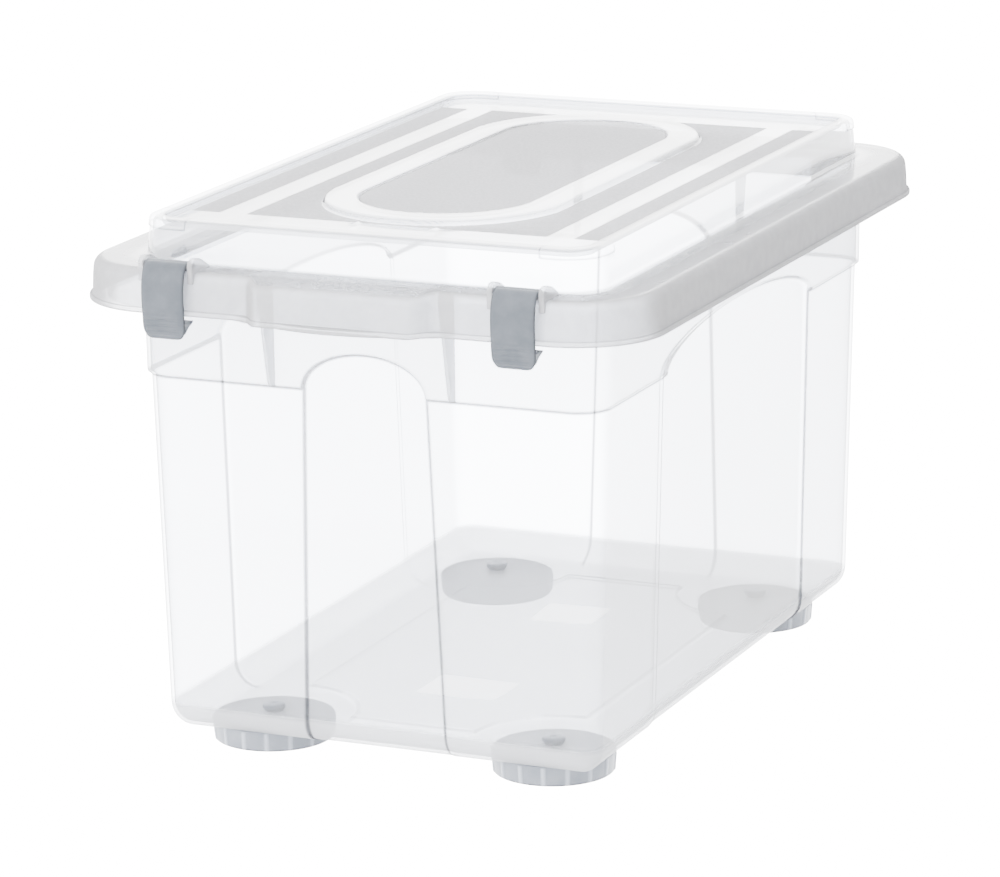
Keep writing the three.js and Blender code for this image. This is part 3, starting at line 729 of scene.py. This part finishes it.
def make_lid():
    """The whole lid: raised top, ledge and skirt as one closed shell."""
    across = spread(TOP_BASE[0], LID_SPACING[0], LID_FINE_ACROSS)
    along = spread(TOP_BASE[1], LID_SPACING[1], LID_FINE_ALONG)
    stations = Stations(TOP_BASE, across, along, 18)
    swell = grip_swell(stations, GRIP_HALF - 3.0, 7.0)
    lip = np.where(stations.on_end, lip_reach(stations.u), 0.0)
    rings = Rings(stations, frost=-FROST_REACH, skirt=0.0, line=0.0)
    add_raised_top(rings, corner_caps(stations))
    add_skirt(rings, swell, np.maximum(lip, swell * (GRIP_DEPTH + 1.0)))
    add_under_side(rings, swell)
    over, frost, line = panel_grid(stations, PANEL_TOP)
    under, _, _ = panel_grid(stations, PANEL_TOP - LID_WALL)
    plain = np.zeros_like(line)
    values = rings.values(frost=(plain - FROST_REACH, frost), skirt=(plain, plain), line=(plain, line))
    return closed_shell("lid_shell", rings.rows, over, under, values)


def make_ears():
    """Rounded lugs on the ledge either side of each clip."""
    x, y, z = HINGE
    foot = LEDGE_TOP - LEDGE_ROUND
    root = LEDGE_TOP - LID_WALL / 2
    back = [(-EAR_STEP, foot), (-EAR_STEP, root), (-y + EAR_TAIL, root)]
    over = bezier([back[-1], (-y + EAR_RADIUS + EAR_SHOULDER, z + EAR_RADIUS), (-y, z + EAR_RADIUS)], 9)
    nose = [(-y - EAR_RADIUS * math.sin(a), z + EAR_RADIUS * math.cos(a)) for a in quarter(6)]
    outline = np.concatenate([back, over[1:], nose[1:], [(-y - EAR_RADIUS, foot)]])
    ears = Moulding()
    for end in (1.0, -1.0):
        for middle in (-x, x):
            for near in (middle - CLIP_HALF - GAP - EAR_WALL, middle + CLIP_HALF + GAP):
                ears.prism(outline * (end, 1.0), near, near + EAR_WALL, 0.9)
    return ears.finish("lid_ears")


def frost_depth(x, y):
    """How far inside the nearest frosted zone of the lid's panel a place is, below nought outside."""
    ring = stadium_depth(x, y, *RING)
    field = stadium_depth(x, y, RING[0] - RING_WIDTH, RING[1] - RING_WIDTH)
    length = FROST_END - np.abs(y)
    inner_band = np.minimum.reduce([INNER_BAND - np.abs(x), length, -1.5 - ring])
    outer_band = np.minimum.reduce([np.abs(x) - OUTER_BAND[0], OUTER_BAND[1] - np.abs(x), length])
    zones = np.maximum.reduce([field - 0.5, inner_band, outer_band])
    return np.clip(zones, -FROST_REACH, FROST_REACH)


def panel_grid(stations, level):
    """The lid's panel with its oblong ring, the depth inside its frosted zones, and the painted shade
    lines along its edges.
    """
    x, y = np.meshgrid(stations.across * TOP_BASE[0], stations.along * TOP_BASE[1])
    ring = stadium_depth(x, y, *RING)
    field = stadium_depth(x, y, RING[0] - RING_WIDTH, RING[1] - RING_WIDTH)
    height = RING_RISE * smooth(-1.8, 1.8, ring) - FIELD_DROP * smooth(-1.4, 1.4, field)
    for tick in TICKS:
        height = height + smooth(1.8, 0.8, np.abs(x - tick)) * smooth(7.5, 6.5, np.abs(np.abs(y) - 208.5))
    line = np.maximum(0.8 * np.exp(-(ring / 1.6) ** 2), np.exp(-(field / 1.3) ** 2))
    return np.stack([x, y, level + height], axis=-1), frost_depth(x, y), line


# ---------------------------------------------------------------- clips

def make_clip(name, place, degrees):
    """A strap rolled round its hinge, with ridges and a rounded lower end, and its hook."""
    clip = Moulding(place, degrees)
    add_strap(clip)
    radius, reach = TRUNNION
    half = [
        (0.0, reach), (radius - 0.4, reach), (radius, reach - 0.4),
        (radius, CLIP_HALF), (CLIP_ROLL - 0.5, CLIP_HALF), (CLIP_ROLL, CLIP_HALF - 0.5),
    ]
    profile = [(r, -x) for r, x in half] + half[::-1]
    clip.turned(profile, 32, axis="X")
    inner = -CLIP_OUT + CLIP_WALL
    hook = [
        (inner - 0.8, HOOK_TOP), (HOOK_TIP, HOOK_TOP), (HOOK_TIP, HOOK_TOP - 1.2),
        (inner + 5.0, HOOK_TOP - 3.5), (inner + 0.4, HOOK_TOP - 7.0), (inner - 0.8, HOOK_TOP - 7.0),
    ]
    clip.prism(hook, -CLIP_HALF + 0.6, CLIP_HALF - 0.6, 0.35)
    return clip.finish(name)


def add_strap(clip):
    """The strap itself: bowed along its length, thin at its edges, ridged and rounded at its foot."""
    out = -CLIP_OUT
    bow = out - CLIP_BOW
    shoulder = (bow, -CLIP_SHOULDER)
    upper = bezier([(0.0, CLIP_ROLL), (out * 0.75, CLIP_ROLL), shoulder, (bow, -CLIP_BELLY)], 24)
    lower = bezier([(bow, -CLIP_BELLY), (bow, -CLIP_KNEE), (out + CLIP_TOE, CLIP_FOOT)], 60)
    path = np.concatenate([upper, lower[1:]])
    heading = np.gradient(path, axis=0)
    heading /= np.linalg.norm(heading, axis=1)[:, None]
    out_y, out_z = heading[:, 1][:, None], -heading[:, 0][:, None]
    share = np.sin(np.linspace(-math.pi / 2, math.pi / 2, 25))
    from_foot = (path[:, 1] - CLIP_FOOT)[:, None]
    round_end = 1.0 - np.sqrt(1.0 - (1.0 - np.minimum(from_foot / CLIP_END, 1.0)) ** 2)
    x = (CLIP_HALF - CLIP_NARROW * round_end) * share
    lip = np.sqrt(1.0 - (1.0 - np.minimum(from_foot / 1.3, 1.0)) ** 2)
    start = np.minimum(np.arange(len(path)), 3.0)[:, None] / 3.0
    wall = CLIP_WALL * np.sqrt(1.0 - share ** 8) * lip * start
    lens = np.sqrt(np.clip(1.0 - (x / (CLIP_HALF - 2.0)) ** 2, 0.0, 1.0))
    relief = -0.5 * lens * smooth(1.0, 3.0, from_foot) * smooth(19.0, 16.0, from_foot)
    for i in range(RIDGES):
        relief = relief + RIDGE_RISE * lens * np.exp(-(((from_foot - RIDGE_PITCH * (i + 1)) / 0.8) ** 2))
    sides = []
    for reach in (wall / 2 + relief * start * lip, -wall / 2):
        y = path[:, :1] + out_y * (reach - CLIP_WALL / 2)
        z = path[:, 1:] + out_z * (reach - CLIP_WALL / 2)
        sides.append(np.stack([x, y, z], axis=-1).reshape(-1, 3))
    faces = sheet_faces(len(path), len(share), 0, False)
    count = len(path) * len(share)
    faces += [[i + count for i in quad[::-1]] for quad in faces]
    # Painted shade: the strap's side edges are darkened through the line mark.
    edge = np.broadcast_to(smooth(0.9, 0.99, np.abs(share)), x.shape).ravel()
    clip.add(np.concatenate(sides), faces, line=np.concatenate([edge, edge]))


# ---------------------------------------------------------------- castors

def rib_swell(angle, height):
    """How far the ribs stand out round the drum's side."""
    pitch = 2.0 * math.pi / DRUM_RIBS
    off = np.abs((angle + pitch / 2) % pitch - pitch / 2) * DRUM_RADIUS
    return RIB_RISE * rib_mark(off, height)


def rib_mark(off, height):
    above_foot = smooth(DRUM_LIFT + 0.3, DRUM_LIFT + 1.2, height)
    below_top = smooth(DRUM_TOP - 0.5, DRUM_TOP - 1.5, height)
    return smooth(1.5, 0.8, off) * above_foot * below_top


def make_drum(name, place, degrees):
    """A round drum, open below, with ribs round its side and a disc on top."""
    drum = Moulding(place, degrees)
    web = DRUM_TOP - DRUM_WALL
    foot = DRUM_FOOT_RADIUS
    inside = [
        (BORE, HUB_UNDER), (HUB_RADIUS - 0.4, HUB_UNDER), (HUB_RADIUS, HUB_UNDER + 0.4), (HUB_RADIUS, web),
        (DRUM_RADIUS - DRUM_WALL, web), (foot - DRUM_WALL, DRUM_LIFT + 0.4),
    ]
    rim = [(foot - DRUM_WALL + 0.4, DRUM_LIFT), (foot - 0.4, DRUM_LIFT), (foot, DRUM_LIFT + 0.4)]
    rise = DRUM_TOP - DRUM_LIFT
    side = [
        (foot + (DRUM_RADIUS - foot) * (z - DRUM_LIFT) / rise, z)
        for z in np.concatenate([[3.8, 4.3], np.arange(5.5, 15.0, 2.0), [15.6, 16.3]])
    ]
    outer = DRUM_RADIUS
    top = [
        (outer, DRUM_TOP - 0.7), (outer - 0.25, DRUM_TOP - 0.2), (outer - 0.8, DRUM_TOP),
        (outer - 3.6, DRUM_TOP), (outer - 3.9, DRUM_TOP - 0.35), (outer - 4.7, DRUM_TOP - 0.35),
        (outer - 5.0, DRUM_TOP),
        (BORE + 0.5, DRUM_TOP), (BORE, DRUM_TOP - 0.5), (BORE, HUB_UNDER),
    ]
    # Painted shade along the drum's lower edge and painted highlights on its ribs, through the line and
    # rib marks.
    drum.turned(inside + rim + side + top, 256, swell=rib_swell, line=foot_shade, rib=rib_highlight_mask)
    spoke_low = (HUB_RADIUS - 0.5, -SPOKE_WALL / 2, web - SPOKE_DROP)
    spoke_high = (foot - DRUM_WALL / 2, SPOKE_WALL / 2, web + 0.5)
    for i in range(SPOKES):
        drum.degrees = degrees + (i + 0.5) * 360.0 / SPOKES
        drum.block(spoke_low, spoke_high, 0.3)
    drum.degrees = degrees
    near, far = ROLLER_OFFSET - ROLLER_RADIUS + 0.6, ROLLER_OFFSET + ROLLER_RADIUS - 0.6
    for low in (-ROLLER_HALF - GAP - CHEEK_WALL, ROLLER_HALF + GAP):
        drum.block((near, low, DRUM_LIFT), (far, low + CHEEK_WALL, web + 0.5), 0.5)
    return drum.finish(name)


def foot_shade(angle, height):
    """Painted shade: a dark band along the drum's lower edge, standing in for the shade under its rim."""
    return np.broadcast_to(smooth(DRUM_LIFT + 1.4, DRUM_LIFT + 0.7, height), (height.shape[0], angle.size))


# Painted highlight: lightens the colour along the drum's ribs.
def rib_highlight_mask(angle, height):
    return rib_swell(angle, height) / RIB_RISE


def make_roller(name, place, degrees):
    """A wheel with a groove in each face, on its axle under the drum."""
    roller = Moulding(place, degrees)
    radius, half = ROLLER_RADIUS, ROLLER_HALF
    bore = AXLE_RADIUS + GAP
    profile = [
        (bore, -half), (bore + 0.6, -half), (bore + 1.0, -half + 0.5), (radius - 1.6, -half + 0.5),
        (radius - 1.2, -half), (radius - 0.8, -half), (radius - 0.2, -half + 0.5), (radius, -half + 1.0),
    ]
    profile += [(r, -y) for r, y in reversed(profile)] + [profile[0]]
    roller.turned(profile, 64, axis="Y", centre=(ROLLER_OFFSET, 0.0, ROLLER_RADIUS))
    return roller.finish(name)


def make_axle(name, place, degrees):
    """A steel pin from cheek to cheek."""
    axle = Moulding(place, degrees)
    half = ROLLER_HALF + GAP + CHEEK_WALL
    end = [(0.0, half), (AXLE_RADIUS - 0.3, half), (AXLE_RADIUS, half - 0.3)]
    profile = [(r, -y) for r, y in end] + end[::-1]
    axle.turned(profile, 32, axis="Y", centre=(ROLLER_OFFSET, 0.0, ROLLER_RADIUS))
    return axle.finish(name)


def make_pin(name, place):
    """A flange under the hub, a stem up through the floor, and a mushroom head."""
    pin = Moulding(place)
    flange = HUB_UNDER - GAP
    neck = FLOOR_TOP + GAP
    profile = [
        (0.0, flange - 1.8), (PIN_FLANGE - 0.5, flange - 1.8), (PIN_FLANGE, flange - 1.3),
        (PIN_FLANGE, flange), (PIN_RADIUS, flange), (PIN_RADIUS, neck), (PIN_HEAD - 0.4, neck + 1.5),
        (PIN_HEAD, neck + 2.1), (PIN_HEAD, PIN_TOP - 1.2), (PIN_HEAD - 0.4, PIN_TOP - 0.5),
        (PIN_HEAD - 1.6, PIN_TOP), (2.5, PIN_TOP), (1.8, PIN_TOP - 0.5), (0.0, PIN_TOP - 0.5),
    ]
    pin.turned(profile, 48)
    return pin.finish(name)


# ---------------------------------------------------------------- materials

def new_material(name):
    material = bpy.data.materials.new(name)
    material.use_nodes = True
    tree = material.node_tree
    tree.nodes.clear()
    output = tree.nodes.new("ShaderNodeOutputMaterial")
    return material, tree, output


def add_node(tree, kind, **inputs):
    """A node with its plain inputs set, their names written with _ for a space."""
    node = tree.nodes.new(kind)
    for name, value in inputs.items():
        node.inputs[name.replace("_", " ")].default_value = value
    return node


def add_noise(tree, scale, detail=3.0):
    coords = tree.nodes.new("ShaderNodeTexCoord")
    noise = add_node(tree, "ShaderNodeTexNoise", Scale=scale, Detail=detail)
    tree.links.new(coords.outputs["Object"], noise.inputs["Vector"])
    return noise.outputs["Fac"]


def add_attribute(tree, name):
    attribute = tree.nodes.new("ShaderNodeAttribute")
    attribute.attribute_name = name
    return attribute.outputs["Fac"]


def add_range(tree, value, low, high, to_low, to_high):
    limits = {"From_Min": low, "From_Max": high, "To_Min": to_low, "To_Max": to_high}
    remap = add_node(tree, "ShaderNodeMapRange", **limits)
    remap.interpolation_type = "SMOOTHSTEP"
    tree.links.new(value, remap.inputs["Value"])
    return remap.outputs["Result"]


def add_ramp(tree, value, stops):
    ramp = tree.nodes.new("ShaderNodeValToRGB")
    elements = ramp.color_ramp.elements
    elements[0].position, elements[0].color = stops[0][0], (*stops[0][1], 1.0)
    elements[1].position, elements[1].color = stops[-1][0], (*stops[-1][1], 1.0)
    for place, colour in stops[1:-1]:
        element = elements.new(place)
        element.color = (*colour, 1.0)
    tree.links.new(value, ramp.inputs["Fac"])
    return ramp.outputs["Color"]


def add_mix(tree, factor, first, second):
    mix = tree.nodes.new("ShaderNodeMixShader")
    if isinstance(factor, float):
        mix.inputs["Fac"].default_value = factor
    else:
        tree.links.new(factor, mix.inputs["Fac"])
    tree.links.new(first, mix.inputs[1])
    tree.links.new(second, mix.inputs[2])
    return mix.outputs["Shader"]


def add_facing(tree):
    return add_node(tree, "ShaderNodeLayerWeight", Blend=0.5).outputs["Facing"]


def add_math(tree, operation, first, second):
    node = tree.nodes.new("ShaderNodeMath")
    node.operation = operation
    for socket, value in zip(node.inputs, (first, second)):
        if isinstance(value, float):
            socket.default_value = value
        else:
            tree.links.new(value, socket)
    return node.outputs["Value"]


def add_gloss(tree, surface, roughness, strength=1.0):
    """A gloss that grows towards grazing view, alike on both sides of a thin wall."""
    gloss = add_node(tree, "ShaderNodeBsdfGlossy", Roughness=roughness)
    grazing = add_math(tree, "POWER", add_facing(tree), 5.0)
    share = add_math(tree, "ADD", add_math(tree, "MULTIPLY", grazing, 0.8 * strength), 0.04 * strength)
    return add_mix(tree, share, surface, gloss.outputs["BSDF"])


def add_bump(tree, height, distance):
    relief = add_node(tree, "ShaderNodeBump", Strength=0.5, Distance=distance)
    tree.links.new(height, relief.inputs["Height"])
    return relief.outputs["Normal"]


def add_veil(tree, tints):
    """Lets light through tinted, by how far it is seen edge on."""
    stops = [(facing, (tint, tint * 1.01, tint * 1.03)) for facing, tint in zip(FACINGS, tints)]
    veil = tree.nodes.new("ShaderNodeBsdfTransparent")
    tree.links.new(add_ramp(tree, add_facing(tree), stops), veil.inputs["Color"])
    return veil.outputs["BSDF"]


def add_clear(tree, tints, haze):
    """Clear moulding: it takes more light the more it is seen edge on, with a faint milky haze."""
    milk = tree.nodes.new("ShaderNodeBsdfDiffuse")
    shade = add_ramp(tree, add_noise(tree, 9.0), [(0.3, (0.74, 0.75, 0.78)), (0.7, (0.84, 0.85, 0.88))])
    tree.links.new(shade, milk.inputs["Color"])
    return add_mix(tree, haze, add_veil(tree, tints), milk.outputs["BSDF"])


def add_milky(tree, shades, tints, share, bump=None):
    """Cloudy moulding: part scatters the light, the rest lets it through, less so seen edge on."""
    dark, light, *cloud = shades
    milk = tree.nodes.new("ShaderNodeBsdfDiffuse")
    shade = add_ramp(tree, add_noise(tree, *cloud), [(0.35, dark), (0.65, light)])
    tree.links.new(shade, milk.inputs["Color"])
    if bump:
        tree.links.new(add_bump(tree, add_noise(tree, *bump[:2]), bump[2]), milk.inputs["Normal"])
    return add_mix(tree, share, add_veil(tree, tints), milk.outputs["BSDF"])


def add_lines(tree, surface, strongest):
    """Painted shade: darker lines along the steps in a clear moulding, standing in for the shade where its
    wall is seen edge on.
    """
    edge = add_node(tree, "ShaderNodeBsdfTransparent", Color=(*PAINTED_EDGE_SHADE, 1.0))
    line = add_range(tree, add_attribute(tree, "line"), 0.25, 1.0, 0.0, strongest)
    return add_mix(tree, line, surface, edge.outputs["BSDF"])


def tub_material():
    """Clear wall, milky where the moulding is thick, with painted shade lines along its steps."""
    material, tree, output = new_material("clear_tub")
    plain = add_clear(tree, TUB_TINTS, 0.03)
    shades = ((0.78, 0.79, 0.82), (0.86, 0.87, 0.9), 14.0)
    cloudy = add_milky(tree, shades, (0.9, 0.9, 0.86, 0.6), 0.46)
    satin = add_gloss(tree, cloudy, 0.2, 0.2)
    body = add_mix(tree, add_attribute(tree, "milk"), add_gloss(tree, plain, 0.08, 0.4), satin)
    tree.links.new(add_lines(tree, body, 0.9), output.inputs["Surface"])
    return material


def lid_material():
    """Polished top with frosted zones, and a cloudy skirt."""
    material, tree, output = new_material("clear_lid")
    plain = add_clear(tree, LID_TINTS, 0.04)
    grain = ((0.7, 0.7, 0.73), (0.84, 0.84, 0.87), 500.0, 4.0)
    frosted = add_milky(tree, grain, (0.4, 0.32, 0.22, 0.12), 0.6, bump=(700.0, 4.0, 0.0004))
    zone = add_range(tree, add_attribute(tree, "frost"), -0.3, 0.3, 0.0, 1.0)
    body = add_mix(tree, zone, add_gloss(tree, plain, 0.1), frosted)
    cloud = ((0.8, 0.8, 0.83), (0.87, 0.87, 0.9), 120.0, 4.0)
    skirt = add_milky(tree, cloud, (0.8, 0.72, 0.12, 0.1), 0.45, bump=(260.0, 3.0, 0.0003))
    body = add_mix(tree, add_attribute(tree, "skirt"), body, skirt)
    # Painted shade lines along the lid's steps and edges.
    tree.links.new(add_lines(tree, body, 0.8), output.inputs["Surface"])
    return material


def cloudy_material(name):
    """Thick plates of the clear moulding, milky all through."""
    material, tree, output = new_material(name)
    cloud = ((0.78, 0.78, 0.81), (0.87, 0.87, 0.9), 90.0, 3.0)
    body = add_milky(tree, cloud, (0.86, 0.82, 0.7, 0.5), 0.32)
    tree.links.new(add_gloss(tree, body, 0.15, 0.3), output.inputs["Surface"])
    return material


def solid_plastic(name, look, sheen, painted_glow=0.0):
    """Opaque moulding, slightly cloudy, with a fine grain; its dark lines are painted shade (print on the
    labels), its ribs get a painted highlight, and it can be given a painted glow.
    """
    dark, light, roughness, grain, bump = look
    material, tree, output = new_material(name)
    sockets = {"Roughness": roughness, "Specular_IOR_Level": sheen}
    # Painted light: a glow makes the surface light itself, as on the labels.
    if painted_glow:
        sockets.update({"Emission_Color": WHITE, "Emission_Strength": painted_glow})
    shader = add_node(tree, "ShaderNodeBsdfPrincipled", **sockets)
    base = add_ramp(tree, add_noise(tree, 60.0), [(0.3, dark), (0.7, light)])
    # Painted shade: the line mark darkens the colour here; on the labels the same mark is their print.
    shade_and_print_colour = [value * 0.3 for value in dark]
    # Painted highlight: the rib mark lightens the drum's ribs.
    rib_highlight_colour = [min(value * 1.7, 0.95) for value in light]
    base = add_blend(tree, add_attribute(tree, "line"), base, shade_and_print_colour)
    base = add_blend(tree, add_attribute(tree, "rib"), base, rib_highlight_colour)
    tree.links.new(base, shader.inputs["Base Color"])
    tree.links.new(add_bump(tree, add_noise(tree, grain, 2.0), bump), shader.inputs["Normal"])
    tree.links.new(shader.outputs["BSDF"], output.inputs["Surface"])
    return material


def add_blend(tree, factor, first, second):
    """A colour that turns into a second, plain one as the factor rises."""
    mix = tree.nodes.new("ShaderNodeMix")
    mix.data_type = "RGBA"
    tree.links.new(factor, mix.inputs["Factor"])
    tree.links.new(first, mix.inputs[6])
    mix.inputs[7].default_value = (*second, 1.0)
    return mix.outputs[2]


def steel_material(name):
    material, tree, output = new_material(name)
    shader = add_node(tree, "ShaderNodeBsdfPrincipled", Metallic=1.0, Roughness=0.3)
    greys = [(0.3, (0.5, 0.5, 0.51)), (0.7, (0.64, 0.64, 0.65))]
    streaks = add_ramp(tree, add_noise(tree, 400.0), greys)
    tree.links.new(streaks, shader.inputs["Base Color"])
    tree.links.new(shader.outputs["BSDF"], output.inputs["Surface"])
    return material


# ---------------------------------------------------------------- studio

def white_to_camera(tree, white, other):
    """Reads as plain white where it is looked at or mirrored, and lights the object more softly."""
    path = tree.nodes.new("ShaderNodeLightPath")
    seen = add_math(tree, "MAXIMUM", path.outputs["Is Camera Ray"], path.outputs["Is Glossy Ray"])
    return add_mix(tree, seen, other, white)


def make_camera():
    data = bpy.data.cameras.new("camera")
    data.lens = VIEW_LENS
    data.clip_end = 50.0
    camera = add_object("camera", data)
    azimuth = math.radians(VIEW_AZIMUTH)
    elevation = math.radians(VIEW_ELEVATION)
    back = Vector((
        math.sin(azimuth) * math.cos(elevation),
        -math.cos(azimuth) * math.cos(elevation),
        math.sin(elevation),
    ))
    camera.location = VIEW_TARGET + back * VIEW_DISTANCE
    camera.rotation_mode = "QUATERNION"
    roll = Quaternion((0.0, 0.0, 1.0), math.radians(VIEW_ROLL))
    camera.rotation_quaternion = (-back).to_track_quat("-Z", "Y") @ roll
    bpy.context.scene.camera = camera


def make_sky():
    world = bpy.data.worlds.new("sky")
    world.use_nodes = True
    tree = world.node_tree
    tree.nodes.clear()
    output = tree.nodes.new("ShaderNodeOutputWorld")
    white = add_node(tree, "ShaderNodeBackground", Strength=BACKDROP, Color=WHITE)
    coords = tree.nodes.new("ShaderNodeTexCoord")
    towards = tree.nodes.new("ShaderNodeVectorMath")
    towards.operation = "DOT_PRODUCT"
    towards.inputs[1].default_value = SKY_BRIGHT_SIDE
    tree.links.new(coords.outputs["Generated"], towards.inputs[0])
    limits = {"From_Min": -0.75, "From_Max": 1.0, "To_Min": SKY_DARK, "To_Max": SKY_BRIGHT}
    strength = add_node(tree, "ShaderNodeMapRange", **limits)
    tree.links.new(towards.outputs["Value"], strength.inputs["Value"])
    soft = add_node(tree, "ShaderNodeBackground", Color=WHITE)
    tree.links.new(strength.outputs["Result"], soft.inputs["Strength"])
    surface = white_to_camera(tree, white.outputs["Background"], soft.outputs["Background"])
    tree.links.new(surface, output.inputs["Surface"])
    bpy.context.scene.world = world


def make_floor():
    half = FLOOR_SIZE / 2
    mesh = bpy.data.meshes.new("floor")
    corners = [(-half, -half, 0), (half, -half, 0), (half, half, 0), (-half, half, 0)]
    mesh.from_pydata(corners, [], [(0, 1, 2, 3)])
    floor = add_object("floor", mesh)
    material, tree, output = new_material("floor_paper")
    paper = add_node(tree, "ShaderNodeBsdfDiffuse", Color=(0.9, 0.9, 0.9, 1.0))
    white = add_node(tree, "ShaderNodeEmission", Strength=BACKDROP)
    surface = white_to_camera(tree, white.outputs["Emission"], paper.outputs["BSDF"])
    tree.links.new(surface, output.inputs["Surface"])
    mesh.materials.append(material)


def make_panels():
    for i, (place, size, power) in enumerate(PANELS):
        light = bpy.data.lights.new(f"panel_{i}", "AREA")
        light.shape = "SQUARE"
        light.size = size
        light.energy = power
        panel = add_object(f"panel_{i}", light)
        panel.location = place
        panel.rotation_euler = (VIEW_TARGET - Vector(place)).to_track_quat("-Z", "Y").to_euler()


# ---------------------------------------------------------------- assembly

def fit(piece, material, node, body):
    """Finishes a piece: its material, the CAD node it stands for and the body it moves with."""
    piece.data.materials.clear()
    piece.data.materials.append(material)
    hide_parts(node)
    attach(piece, body)


make_camera()
make_sky()
make_floor()
make_panels()

milky = cloudy_material("clear_plates")
clip_plastic = solid_plastic("clip_plastic", CLIP_PLASTIC, PLASTIC_SHEEN)
castor_plastic = solid_plastic("castor_plastic", CASTOR_PLASTIC, PLASTIC_SHEEN)
pin_plastic = solid_plastic("pin_plastic", PIN_PLASTIC, PLASTIC_SHEEN)
roller_plastic = solid_plastic("roller_plastic", ROLLER_PLASTIC, PLASTIC_SHEEN)
label_paper = solid_plastic("label_paper", LABEL_PAPER, PAPER_SHEEN, PAPER_PAINTED_GLOW)
axle_steel = steel_material("axle_steel")

fit(make_tub(), tub_material(), "bin_body", "tub")
fit(make_gussets(), milky, "bin_body", "tub")
fit(make_lid(), lid_material(), "lid", "lid")
fit(make_ears(), milky, "lid", "lid")
for name, layout in LABELS.items():
    fit(make_label(name, *layout), label_paper, "bin_body", "tub")

for end, y, degrees in (("front", -1.0, 0.0), ("back", 1.0, 180.0)):
    for side, x in (("left", -1.0), ("right", 1.0)):
        corner = f"{end}_{side}"
        hinge = (x * HINGE[0], y * HINGE[1], HINGE[2])
        castor = (x * CASTOR[0], y * CASTOR[1], 0.0)
        heading = HEADINGS[corner]
        clip = make_clip(f"strap_{corner}", hinge, degrees)
        fit(clip, clip_plastic, f"clip_{corner}", f"clip_{corner}")
        drum = make_drum(f"drum_{corner}", castor, heading)
        fit(drum, castor_plastic, f"castor_housing_{corner}", f"castor_{corner}")
        roller = make_roller(f"wheel_{corner}", castor, heading)
        fit(roller, roller_plastic, f"castor_roller_{corner}", f"roller_{corner}")
        axle = make_axle(f"spindle_{corner}", castor, heading)
        fit(axle, axle_steel, f"castor_axle_{corner}", f"castor_{corner}")
        pin = make_pin(f"stud_{corner}", castor)
        fit(pin, pin_plastic, f"castor_pin_{corner}", "tub")
